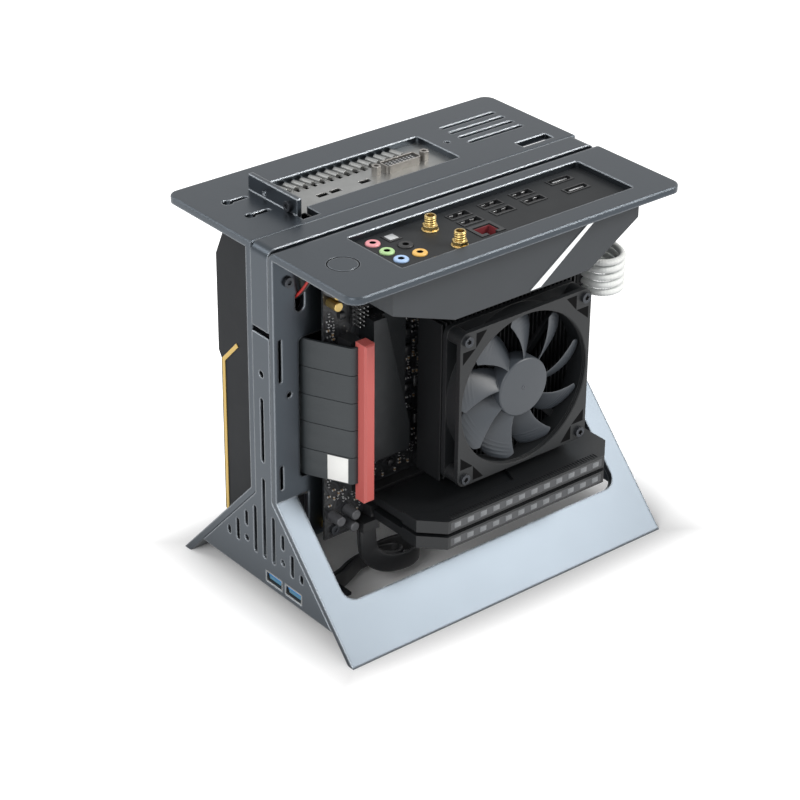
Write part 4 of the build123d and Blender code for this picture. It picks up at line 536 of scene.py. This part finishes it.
class BENCH_OT_posts(bpy.types.Operator):
    """Gold antenna posts with a washer, a nut, a thread, a bore and a pin"""

    bl_idname = "bench.posts"
    bl_label = "Thread the antenna posts"

    def execute(self, context):
        """The radius round the axis is a hexagon on the nut and crest - depth (1 + cos(turn - h / pitch)) / 2."""
        sizes = context.scene.bench_sizes
        pitch, depth = sizes.thread_pitch / MM, sizes.thread_depth / MM
        low, high = span("antenna_posts")
        foot, top, plate = low[2], high[2], span("io_shield")[1][2]
        crest = MOUNTS["antenna_post_1"]["dims"]["r_mm"]
        seat, mouth, pin, pin_top = 4.55, 2.2, 1.1, top - 1.4
        washer, nut = plate + 0.6, plate + 3.2
        # Height, radius, whether the ring is a hexagon and whether the thread is cut into it.
        rows = [(foot, CORE, 0, 0), (foot, crest, 0, 0), (plate, crest, 0, 0), (plate, seat, 0, 0),
                (washer - 0.15, seat, 0, 0), (washer, seat - 0.15, 0, 0), (washer, seat - 0.25, 1, 0),
                (nut - 0.3, seat - 0.25, 1, 0), (nut, seat - 0.7, 1, 0), (nut, crest, 0, 0)]
        rows += [(height, crest, 0, 1) for height in np.arange(nut + 0.1, top - 0.5, pitch / 12)]
        rows += [(top - 0.4, crest - 0.05, 0, 0), (top, crest - 0.4, 0, 0), (top, mouth, 0, 0), (nut, mouth, 0, 0),
                 (nut, CORE, 0, 0)]
        height, radius, six, cut = np.array(rows).T[:, :, None]
        turn = np.linspace(0, 2 * math.pi, 48, endpoint=False)
        hexagon = math.cos(math.pi / 6) / np.cos(turn % (math.pi / 3) - math.pi / 6)
        groove = depth * (1 + np.cos(turn - 2 * math.pi * height / pitch)) / 2
        around = radius * np.where(six > 0, hexagon, 1.0) - cut * groove
        shell = np.stack([around * np.cos(turn), around * np.sin(turn), height + 0 * turn], axis=-1)
        spots = [(*np.array(MOUNTS[name]["pos_m"][:2]) / MM, 0) for name in ("antenna_post_1", "antenna_post_2")]
        profile = [(CORE, nut - 0.3), (pin, nut - 0.3), (pin, pin_top - 0.4), (pin - 0.3, pin_top), (CORE, pin_top)]
        posts = np.array(spots)[:, None, None] + shell
        piece("antenna_posts_threaded", [
            (posts, "gold_plating"), (turned(profile, spots, TOP_FACE), "gold_plating")],
            replaces=("antenna_posts",))
        return {"FINISHED"}


class BENCH_OT_sleeves(bpy.types.Operator):
    """Braided white power cables from the board's plug to the coupler in the panel"""

    bl_idname = "bench.sleeves"
    bl_label = "Sleeve the power cables"

    def execute(self, context):
        """A round section along each line, its radius raised and lowered where two sets of strands cross."""
        strand = context.scene.bench_sizes.strand / MM
        low, high = span("power_cables")
        radius, count, strands, weave_depth, spacing, behind = 2.0, 5, 4, 0.045, 0.4, -18.1
        start, end = (low[0] + radius, span("board_power_plug")[0][1]), span("cable_coupler")[0][1]
        bends = [(0, 0), (0, -6.5), (4, -12.5), (11.5, -14.5), (18.5, -11.5), (23, -4), (24.5, 6), (24, 18)]
        route = [(start[0] + x, start[1] + y, 0) for x, y in bends]
        route += [(high[0] - radius, behind, 0), (high[0] - radius, end, 0)]
        line = smooth_line(route, spacing)
        along = np.arange(len(line))[:, None] * spacing / strand * math.pi
        turn = np.linspace(0, 2 * math.pi, 20, endpoint=False)[None]
        crossing = np.sign(np.cos(strands * turn + along) * np.cos(strands * turn - along))
        weave = 1 - weave_depth + weave_depth * crossing
        section = radius * weave[..., None] * np.stack([np.cos(turn), np.sin(turn)], axis=-1)
        tube = swept(line, section, (0, 0, 1))[0]
        rises = np.linspace(low[2] + radius, high[2] - radius, count)
        shells = tube[None] + np.array([(0, 0, rise) for rise in rises])[:, None, None]
        piece("power_cables_braided", [(shells, "white_braid")], replaces=("power_cables",),
              sharp=180.0)
        return {"FINISHED"}


class BENCH_OT_leads(bpy.types.Operator):
    """Red and black leads from the power button down the spine"""

    bl_idname = "bench.leads"
    bl_label = "Lay the button's leads"

    def execute(self, context):
        """A round section along each lead's spline."""
        radius = context.scene.bench_sizes.lead_radius / MM
        low, high = span("button_leads")
        bends = [(0, 0, 0), (0, 7.5, 0), (-3.6, 13.3, -13), (-4.4, 21, -21), (-5, 28, -25.5), (-5.2, 31, -36),
                 (-5.1, 30, -71), (-5.2, 29, -109), (-5.1, 30, -149)]
        button = span("power_button")
        middle = (button[0][0] + button[1][0]) / 2
        parts = []
        for shift, finish_name in ((-1.0, "red_lead"), (1.0, "black_cable")):
            start = np.array([middle + shift, low[1], high[2] - radius])
            route = [tuple(start + np.array(bend)) for bend in bends]
            route.append((route[-1][0], route[-1][1], low[2]))
            parts.append((swept(smooth_line(route, 1.5), disc(radius, 12), (1, 0, 0)), finish_name))
        piece("button_lead_pair", parts, replaces=("button_leads",))
        return {"FINISHED"}


class BENCH_OT_flat_cable(bpy.types.Operator):
    """Flat black cable, folded double, that loops on edge and turns up to the board's lower header"""

    bl_idname = "bench.flat_cable"
    bl_label = "Lay the flat cable"

    def execute(self, context):
        """A rounded strip along each fold's spline; its width stands up, then swings over as the line turns up."""
        low, high = span("front_cable")
        width, thick, head, squareness, turns_up = 11.0, 2.2, -61.0, 0.35, 0.66
        rise = low[2] + width / 2 + 0.2
        top = high[2] - rise
        # Heights are above the cable's middle as it lies.
        routes = [
            [(low[0], -20.8, 0), (-74, -20.8, 0), (-64, -16.5, 0), (-48, -9.5, 0.6), (-33, -9.0, 1.2), (-22, -13, 2),
             (-19.5, -21, 2.6), (-26, -28.5, 3.2), (-38, -31.5, 4.4), (-50, -31.0, 7), (-58.5, -29.2, 13),
             (head, -28.0, 21), (head, -27.9, top)],
            [(low[0], -18.2, 0), (-74, -18.2, 0), (-63, -13.0, 0), (-52, -12.5, 1.2), (-41, -13.5, 2.2),
             (-33.5, -18.5, 3.2), (-34, -25, 4.0), (-40, -28.3, 4.8), (-50, -28.2, 7.6), (-58.5, -26.4, 13.6),
             (head, -25.5, 21), (head, -25.4, top)]]
        turn = np.linspace(0, 2 * math.pi, 20, endpoint=False)
        across = np.sign(np.cos(turn)) * np.abs(np.cos(turn)) ** squareness * width / 2
        strip = np.stack([thick / 2 * np.sin(turn), across], axis=1)
        parts = []
        for route in routes:
            line = smooth_line(np.array(route) + (0, 0, rise), 1.2)
            share = np.linspace(0, 1, len(line))[:, None]
            over = np.cross(np.array([0.0, 1.0, 0.0]), np.gradient(line, axis=0))
            over /= np.linalg.norm(over, axis=1, keepdims=True)
            side = np.where(share < turns_up, np.array([0.0, 0.0, 1.0]), over)
            parts.append((swept(line, strip, side), "black_cable"))
        piece("front_cable_bands", parts, replaces=("front_cable",))
        return {"FINISHED"}


class BENCH_OT_memory(bpy.types.Operator):
    """Light windows on the memory's bars and ribs on its coolers"""

    bl_idname = "bench.memory"
    bl_label = "Light and rib the memory"

    def execute(self, context):
        """Rows of chamfered blocks: windows along both bars' front, ribs along both coolers' outer edge."""
        sizes = context.scene.bench_sizes
        low, high = span("memory_lights")
        half_bar, end_margin, rib_setback, sunk = 2.3, 16, 3.2, 0.1
        window, rib = (sizes.window_width / MM, 3.0, 0.3), (0.9, 3.6, 0.5)
        places = np.linspace(low[0], high[0], 2 * sizes.windows + 1)[1::2]
        bars = (low[2] + half_bar, high[2] - half_bar)
        windows = [(x, low[1] + sunk, z) for z in bars for x in places]
        ribs = []
        for node in ("memory_spreader_lower", "memory_spreader_upper"):
            start, end = span(node)
            row = np.arange(start[0] + end_margin, end[0] - end_margin, sizes.rib_pitch / MM)
            ribs += [(x, start[1] + rib_setback, end[2] - sunk) for x in row]
        piece("memory_details", [(blocks(windows, window, 0.12, BOARD_FACE), "milky_window"),
                                 (blocks(ribs, rib, 0.15, TOP_FACE), "black_anodised")])
        return {"FINISHED"}


class BENCH_OT_painted_shade(bpy.types.Operator):
    """Painted shade: a near-black ring in the power button's gap, and a near-black strip between the card's shroud
    and its bracket, under its vents
    """

    bl_idname = "bench.seals"
    bl_label = "Fit the seals"

    def execute(self, context):
        """A closed ring with a rectangular section, and one chamfered block from shroud to bracket."""
        button, top = span("power_button"), span("board_side_panel")[1][2]
        centre = (button[0] + button[1]) / 2
        inner, outer, sunk, proud = 8.04, 8.5, 0.6, 0.02
        ring = [(inner, -sunk), (outer, -sunk), (outer, proud), (inner, proud)]
        # Near-black ring: painted shade in the gap round the button.
        piece("button_gasket", [(turned(ring, (*centre[:2], top), TOP_FACE, 96), "bore_black")],
              loop=True)
        # Near-black strip under the bracket's vents: a sheet that stands for the shade behind them.
        under, over = span("card_shroud"), span("card_bracket")
        inset, margin, wide, lap = 0.8, 8.0, 1.2, 0.05
        base = ((over[0][0] + over[1][0]) / 2, under[1][1] - inset, under[1][2] - lap)
        size = (over[1][0] - over[0][0] - margin, wide, over[0][2] - under[1][2] + 2 * lap)
        piece("bracket_seal", [(blocks([base], size, 0.2, TOP_FACE), "bore_black")])
        return {"FINISHED"}


class BENCH_OT_label(bpy.types.Operator):
    """Blank paper label on the riser's lowest tape, next to the red plug"""

    bl_idname = "bench.label"
    bl_label = "Stick the label"

    def execute(self, context):
        """A thin block on the tape's slanted run, turned to its outer face."""
        wide = context.scene.bench_sizes.label_width / MM
        plug, tape = span("riser_plug"), span("riser_ribbons")
        half_tape, tail, from_fold, tall, thick, bend_y, rise = 0.8, 3.0, 2.2, 14.8, 0.12, -12.0, 7.95
        fold = np.array([plug[0][0] - tail, tape[0][1] + half_tape])
        bend = np.array([tape[0][0] + half_tape, bend_y])
        run = (fold - bend) / np.linalg.norm(fold - bend)
        outward = np.array([run[1], -run[0]])
        middle = fold - run * (from_fold + wide / 2) + outward * half_tape
        axes = np.array([(*run, 0), (0, 0, 1), (*outward, 0)])
        label = blocks([(*middle, tape[0][2] + rise)], (wide, tall, thick), 0.05, axes)
        piece("tape_label", [(label, "paper_label")])
        return {"FINISHED"}


class BENCH_OT_fan(bpy.types.Operator):
    """Swept rotor, steps round the mouth of the fan's bore, near-black painted shade in the corner pockets and screw
    recesses, and the hub's gate mark
    """

    bl_idname = "bench.fan"
    bl_label = "Detail the fan"

    def execute(self, context):
        """Blades with a turned hub, closed rings with a low trapezium section, and thin near-black triangles and
        crossed blocks that are painted shade.
        """
        low, high = span("fan_frame")
        centre = (low + high) / 2
        face = (centre[0], low[1], centre[2])
        bore, step_depths = 44.6, (0.5, 1.7, 2.9)
        step = [(0.1, -0.35), (-0.45, -0.2), (-0.45, 0.2), (0.1, 0.35)]
        rings = [turned([(bore + s, h - depth) for s, h in step], face, BOARD_FACE, 96) for depth in step_depths]
        piece("fan_bore_steps", [(np.concatenate(rings), "fan_moulding")], loop=True)
        hub = span("fan_rotor")
        front, depth = (centre[0], hub[0][1], centre[2]), hub[1][1] - hub[0][1]
        piece("fan_rotor_swept", [(swept_blades(front, depth), "rotor_moulding"),
                                  (fan_hub(front, depth), "rotor_moulding")],
              body="cpu_fan", replaces=("fan_rotor",), sharp=50.0)
        # Thin near-black triangles: painted shade in the frame's corner pockets.
        corner, sunk, proud = np.array([(28.0, 44.2), (35.3, 44.2), (35.3, 35.6)]), 0.3, 0.03
        flats = [corner * (a, b) for a in (-1, 1) for b in (-1, 1)]
        flats = np.array(flats + [flat[:, ::-1] for flat in flats])
        pockets = np.array(face) + flats[..., :1] * BOARD_FACE[0] + flats[..., 1:] * BOARD_FACE[1]
        pockets = np.stack([pockets - sunk * BOARD_FACE[2], pockets + proud * BOARD_FACE[2]], axis=1)
        piece("fan_corner_pockets", [(pockets, "bore_black")])
        dimple = [(CORE, -0.1), (1.3, -0.1), (1.3, 0.1), (1.0, 0.18), (0.7, 0.02), (CORE, 0.02)]
        piece("fan_hub_dimple", [(turned(dimple, front, BOARD_FACE, 24), "rotor_moulding")], body="cpu_fan")
        # Thin near-black crosses: painted shade in the screws' recesses.
        first, last = span("fan_screws")
        head, long, short, thick = 2.5, 2.8, 0.7, 0.1
        spots = [(x, first[1] + thick / 2, z) for x in (first[0] + head, last[0] - head)
                 for z in (first[2] + head, last[2] - head)]
        bars = [blocks(spots, size, 0.02, BOARD_FACE) for size in ((long, short, thick), (short, long, thick))]
        piece("fan_screw_crosses", [(np.concatenate(bars), "bore_black")])
        return {"FINISHED"}


class BENCH_OT_board_parts(bpy.types.Operator):
    """Small parts soldered to the front of the mainboard"""

    bl_idname = "bench.board_parts"
    bl_label = "Populate the mainboard"

    def execute(self, context):
        """Chips and small parts on jittered grids, left out where a larger part's footprint stands."""
        sizes = context.scene.bench_sizes
        random = np.random.default_rng(sizes.seed)
        low, high = span("mainboard")
        face = low[1] + 0.02
        standing = ("card_slot", "riser_plug", "board_heatsink", "processor_socket", "memory_sockets",
                    "board_power_plug", "network_socket", "rear_data_sockets", "video_sockets")
        keep = [span(node) for node in standing]
        keep = np.array([(a[0] - 1.0, a[2] - 1.0, b[0] + 1.0, b[2] + 1.0) for a, b in keep])
        # Zones round the capacitors, headers, screws and jacks: lowest x and z, then highest x and z.
        extra = [(-85.5, 180, -78, 195), (-86, 44.5, -67, 61), (-67.5, 41, -55, 50), (-70, 194, -40, 212),
                 (-32, 194, -18, 212), (75, 120, 84, 190), (-86, 196, -72, 212), (-86, 41, -74, 52),
                 (-69.5, 166, -60.5, 181)]
        keep = np.concatenate([keep, extra])

        def clear(spots, half, zones):
            """Which footprints stay outside every zone."""
            inside = ((spots[:, None, 0] + half > zones[:, 0]) & (spots[:, None, 1] + half > zones[:, 1])
                      & (spots[:, None, 0] - half < zones[:, 2]) & (spots[:, None, 1] - half < zones[:, 3]))
            return ~inside.any(axis=1)

        def scatter(pitch, jitter, share, half, zones):
            """Places on a jittered grid over the board's face, a share of them, clear of its edge and the zones."""
            across, up = np.meshgrid(np.arange(low[0] + pitch, high[0] - pitch / 2, pitch),
                                     np.arange(low[2] + pitch, high[2] - pitch / 2, pitch))
            spots = np.stack([across.ravel(), up.ravel()], axis=1)
            spots = spots + random.uniform(-jitter, jitter, spots.shape)
            spots = spots[random.random(len(spots)) < share]
            return spots[clear(spots, half, zones)]

        def on_board(spots, size, edge):
            """Blocks on the board's face."""
            stand = np.stack([spots[:, 0], np.full(len(spots), face), spots[:, 1]], axis=1)
            return blocks(stand, size, edge, BOARD_FACE)

        chips = scatter(13.0, 2.5, 0.6, 3.4, keep)
        chip_size = random.uniform((3.2, 3.2, 0.9), (6.0, 6.0, 1.6), (len(chips), 3))
        zones = np.concatenate([keep, np.c_[chips - 4.2, chips + 4.2]])
        cores = scatter(11.0, 1.5, 0.35, 3.0, zones)
        core_size = np.repeat(random.uniform(3.6, 5.4, (len(cores), 1)), 3, axis=1) * (1, 1, 0.55)
        zones = np.concatenate([zones, np.c_[cores - 3.4, cores + 3.4]])
        small = scatter(sizes.part_grid / MM, 0.5, 0.7, 1.3, zones)
        lying = (random.random(len(small)) < 0.5)[:, None]
        body = np.where(lying, (1.3, 1.0, 0.8), (1.0, 1.3, 0.8))
        away = np.where(lying, (0.85, 0.0), (0.0, 0.85))
        end = np.where(lying, (0.5, 1.1, 0.85), (1.1, 0.5, 0.85))
        brown = random.random(len(small)) < 0.55
        pin_pitch, first_pin = 2.54, np.array([-67.5, 168.0])
        pins = first_pin + pin_pitch * np.array([(i, j) for i in range(3) for j in range(5)])
        piece("board_small_parts", [
            (on_board(chips, chip_size, 0.15), "black_epoxy"),
            (on_board(chips, chip_size * (1.14, 1.14, 0.3), 0.1), "tinned_end"),
            (on_board(cores, core_size, 0.5), "black_epoxy"),
            (on_board(small[brown], body[brown], 0.1), "brown_ceramic"),
            (on_board(small[~brown], body[~brown], 0.1), "black_epoxy"),
            (on_board(np.concatenate([small + away, small - away]), np.concatenate([end, end]), 0.1), "tinned_end"),
            (on_board(pins, (2.4, 2.4, 2.5), 0.2), "black_nylon"),
            (on_board(pins, (0.7, 0.7, 7.5), 0.1), "tinned_end")])
        return {"FINISHED"}


class BENCH_OT_sockets(bpy.types.Operator):
    """Near-black bores as painted shade, contacts, linings and the light port's door in the rear sockets, and contacts
    in the front ones
    """

    bl_idname = "bench.sockets"
    bl_label = "Fill the sockets"

    def execute(self, context):
        """Near-black cups in the jacks, painted shade down their bores; thin blocks inside the other mouths."""
        parts = []

        def fill(spots, size, edge, finish_name):
            """Upright blocks of one size and finish."""
            parts.append((blocks(spots, size, edge, TOP_FACE), finish_name))

        jacks = [mount for name, mount in MOUNTS.items() if name.endswith("_bore")]
        tops = [(*np.array(mount["pos_m"][:2]) / MM, 0.0) for mount in jacks]
        rim = span("jack_pink")[1][2]
        outer, inner, floor, lip = 1.78, 1.62, rim - 8.0, rim - 0.25
        cup = [(CORE, floor), (outer, floor), (outer, lip), (inner, lip), (inner, floor + 0.4), (CORE, floor + 0.4)]
        # Near-black cups: painted shade down the jacks' bores.
        parts.append((turned(cup, tops, TOP_FACE, 32), "bore_black"))
        low, high = span("card_video_connector")
        centre = (low + high) / 2
        fill([(centre[0], centre[1], low[2] + 0.9)], (21.4, 5.4, 2.9), 0.2, "black_nylon")
        column, row = 2.4 * np.arange(8) - 8.4, 1.7 * np.arange(3) - 1.7
        fill([(centre[0] + x, centre[1] + y, low[2] + 3.75) for x in column for y in row], (0.9, 0.9, 0.12), 0.04,
             "tinned_end")
        low, high = span("rear_data_sockets")
        columns = np.linspace(low[0] + 7.0, high[0] - 7.0, 3)
        rows = (high[1] - 7.8, high[1] - 17.3)
        fill([(x + side, y + 2.2, high[2] - 5.0) for x in columns for y in rows for side in (-3.4, 2.6)],
             (2.6, 0.5, 4.4), 0.1, "tinned_end")
        low, high = span("video_sockets")
        fill([((low[0] + high[0]) / 2, y, high[2] - 4.5) for y in (high[1] - 7.2, high[1] - 20.4)], (10.0, 1.1, 4.2),
             0.1, "tinned_end")
        low, high = span("network_socket")
        centre, floor = (low + high) / 2, high[2] - 8.2
        fill([(centre[0], high[1] - 2.95, floor)], (10.8, 0.3, 7.6), 0.05, "dark_red_moulding")
        fill([(high[0] - 2.65, centre[1], floor)], (0.3, 7.2, 7.6), 0.05, "dark_red_moulding")
        low, high = span("optical_socket")
        fill([(*((low + high) / 2)[:2], high[2] - 0.05)], (5.4, 5.4, 0.3), 0.12, "grey_door")
        piece("rear_socket_inserts", parts)
        low, high = span("front_data_sockets")
        inward = np.array([(0, 1, 0), (0, 0, 1), (1, 0, 0)], float)
        sunk, rise, carrier = 1.0, 2.9, (10.2, 2.0, 6.0)
        middle = 0.44 * (high[1] - low[1]) / 2
        mouths = [(low[0] + sunk, y, low[2] + rise) for y in (low[1] + middle, high[1] - middle)]
        piece("front_socket_contacts", [(blocks(mouths, carrier, 0.2, inward), "teal_moulding")])
        return {"FINISHED"}


# Stage

WHITE = (1, 1, 1, 1)
FLOOR_REACH = 1.7
CAMERA_TARGET = (-13.69, 3.24, 92.07)
LAMP_TARGET = (0, 0, 0.1)
# Place and width of each lamp in metres; their powers are settings.
KEY_TINT = (1.0, 0.972, 0.935)
LAMPS = {
    "key": ((1.17, -1.17, 1.36), 0.71), "left": ((-1.5, -0.6, 1.1), 1.0),
    "rim": ((-0.98, 1.36, 1.2), 0.8), "top": ((-0.2, 0.2, 1.9), 1.2),
}


def greater(tree, first, second):
    """The greater of two shader values."""
    return add(tree, "Math", {"operation": "MAXIMUM"}, {0: first, 1: second}).outputs[0]


def lay_floor(stage):
    """White paper that glows for the camera and in reflections, less and less towards the bench's own footprint,
    which paints a shadow round and under the bench.
    """
    corners = [(x * FLOOR_REACH, y * FLOOR_REACH, 0) for x, y in ((-1, -1), (1, -1), (1, 1), (-1, 1))]
    floor = bpy.data.meshes.new("floor")
    floor.from_pydata(corners, [], [(0, 1, 2, 3)])
    holder = bpy.data.objects.new("floor", floor)
    bpy.context.scene.collection.objects.link(holder)
    tree, shader, place = blank("white_paper")
    shader.inputs["Base Color"].default_value = stage.floor
    shader.inputs["Roughness"].default_value = 0.9
    shader.inputs["Emission Color"].default_value = WHITE
    path = add(tree, "LightPath").outputs
    seen = greater(tree, path["Is Camera Ray"], path["Is Glossy Ray"])
    reach = [1 / value for value in CAD_BOX[1][:2]] + [0.0]
    shares = add(tree, "VectorMath", {"operation": "MULTIPLY"}, {0: place, 1: reach})
    shares = add(tree, "VectorMath", {"operation": "ABSOLUTE"}, {0: shares.outputs[0]})
    shares = add(tree, "SeparateXYZ", None, {0: shares.outputs[0]})
    away = greater(tree, shares.outputs[0], shares.outputs[1])
    # No glow inside nine tenths of the footprint, full glow past one and a half times it: a painted shadow round the
    # bench.
    glow_past_painted_shadow = add(tree, "MapRange", {"interpolation_type": "SMOOTHSTEP"}, {0: away, 1: 0.9, 2: 1.5, 3: 0.0, 4: 0.85})
    glow = add(tree, "Math", {"operation": "MULTIPLY"}, {0: seen, 1: glow_past_painted_shadow.outputs[0]})
    tree.links.new(glow.outputs[0], shader.inputs["Emission Strength"])
    floor.materials.append(finish("white_paper"))
    return holder


def surround(stage):
    """Plain surroundings, white to the camera and in reflections and dimmer as light."""
    world = bpy.data.worlds.new("studio")
    bpy.context.scene.world = world
    world.use_nodes = True
    tree = world.node_tree
    path = add(tree, "LightPath").outputs
    seen = greater(tree, path["Is Camera Ray"], path["Is Glossy Ray"])
    seen = greater(tree, seen, path["Is Transmission Ray"])
    strength = add(tree, "MapRange", None, {0: seen, 3: stage.sky, 4: 1.0})
    sky = tree.nodes["Background"]
    sky.inputs["Color"].default_value = WHITE
    tree.links.new(strength.outputs[0], sky.inputs["Strength"])


def hang_lamps(stage, floor):
    """Soft lamps; the main one is flagged off the floor, so the floor under the bench stays dark."""
    flagged = bpy.data.collections.new("flagged_floor")
    flagged.objects.link(floor)
    flagged.collection_objects[0].light_linking.link_state = "EXCLUDE"
    for name, (spot, size) in LAMPS.items():
        lamp = bpy.data.lights.new(name, "AREA")
        lamp.energy = getattr(stage, name + "_power")
        lamp.size = size
        holder = bpy.data.objects.new(name, lamp)
        holder.location = spot
        holder.rotation_euler = (Vector(LAMP_TARGET) - Vector(spot)).to_track_quat("-Z", "Y").to_euler()
        bpy.context.scene.collection.objects.link(holder)
        if name == "key":
            lamp.color = KEY_TINT
            holder.light_linking.receiver_collection = flagged


def place_camera(stage):
    """The camera on a sphere round its target, rolled a little about its view."""
    back = Vector((math.sin(stage.azimuth) * math.cos(stage.elevation),
                   -math.cos(stage.azimuth) * math.cos(stage.elevation), math.sin(stage.elevation)))
    level = Vector((math.cos(stage.azimuth), math.sin(stage.azimuth), 0))
    upright = back.cross(level)
    right = math.cos(stage.roll) * level + math.sin(stage.roll) * upright
    up = math.cos(stage.roll) * upright - math.sin(stage.roll) * level
    camera = bpy.data.cameras.new("camera")
    camera.lens = stage.lens
    camera.sensor_width = 36.0
    camera.clip_end = 20.0
    holder = bpy.data.objects.new("camera", camera)
    turn = Matrix((right, up, back)).transposed().to_4x4()
    holder.matrix_world = Matrix.Translation(Vector(CAMERA_TARGET) * MM + back * stage.distance) @ turn
    bpy.context.scene.collection.objects.link(holder)
    bpy.context.scene.camera = holder


class BENCH_OT_stage(bpy.types.Operator):
    """White paper floor, soft lamps, pale surroundings and the camera"""

    bl_idname = "bench.stage"
    bl_label = "Set the stage"

    def execute(self, context):
        stage = context.scene.bench_stage
        floor = lay_floor(stage)
        surround(stage)
        hang_lamps(stage, floor)
        place_camera(stage)
        context.scene.view_settings.view_transform = "Standard"
        return {"FINISHED"}


STEPS = (BENCH_OT_dress, BENCH_OT_stage, BENCH_OT_sleeves, BENCH_OT_leads, BENCH_OT_flat_cable, BENCH_OT_posts,
         BENCH_OT_memory, BENCH_OT_painted_shade, BENCH_OT_label, BENCH_OT_fan, BENCH_OT_board_parts, BENCH_OT_sockets)


class BENCH_PT_panel(bpy.types.Panel):
    """Lists the bench's settings and steps"""

    bl_label = "Test Bench"
    bl_space_type = "VIEW_3D"
    bl_region_type = "UI"
    bl_category = "Test Bench"

    def draw(self, context):
        for group in (context.scene.bench_look, context.scene.bench_sizes, context.scene.bench_stage):
            for key in group.__annotations__:
                self.layout.prop(group, key)
        for step in STEPS:
            self.layout.operator(step.bl_idname)


GROUPS = {"bench_look": BenchLook, "bench_sizes": BenchSizes, "bench_stage": BenchStage}


def register():
    for group in (*GROUPS.values(), *STEPS, BENCH_PT_panel):
        bpy.utils.register_class(group)
    for name, group in GROUPS.items():
        setattr(bpy.types.Scene, name, bpy.props.PointerProperty(type=group))


def unregister():
    for name in GROUPS:
        delattr(bpy.types.Scene, name)
    for group in reversed((*GROUPS.values(), *STEPS, BENCH_PT_panel)):
        bpy.utils.unregister_class(group)


def main():
    """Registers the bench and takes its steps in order."""
    register()
    for step in STEPS:
        getattr(bpy.ops.bench, step.bl_idname.split(".")[1])()


if __name__ == "__main__":
    main()
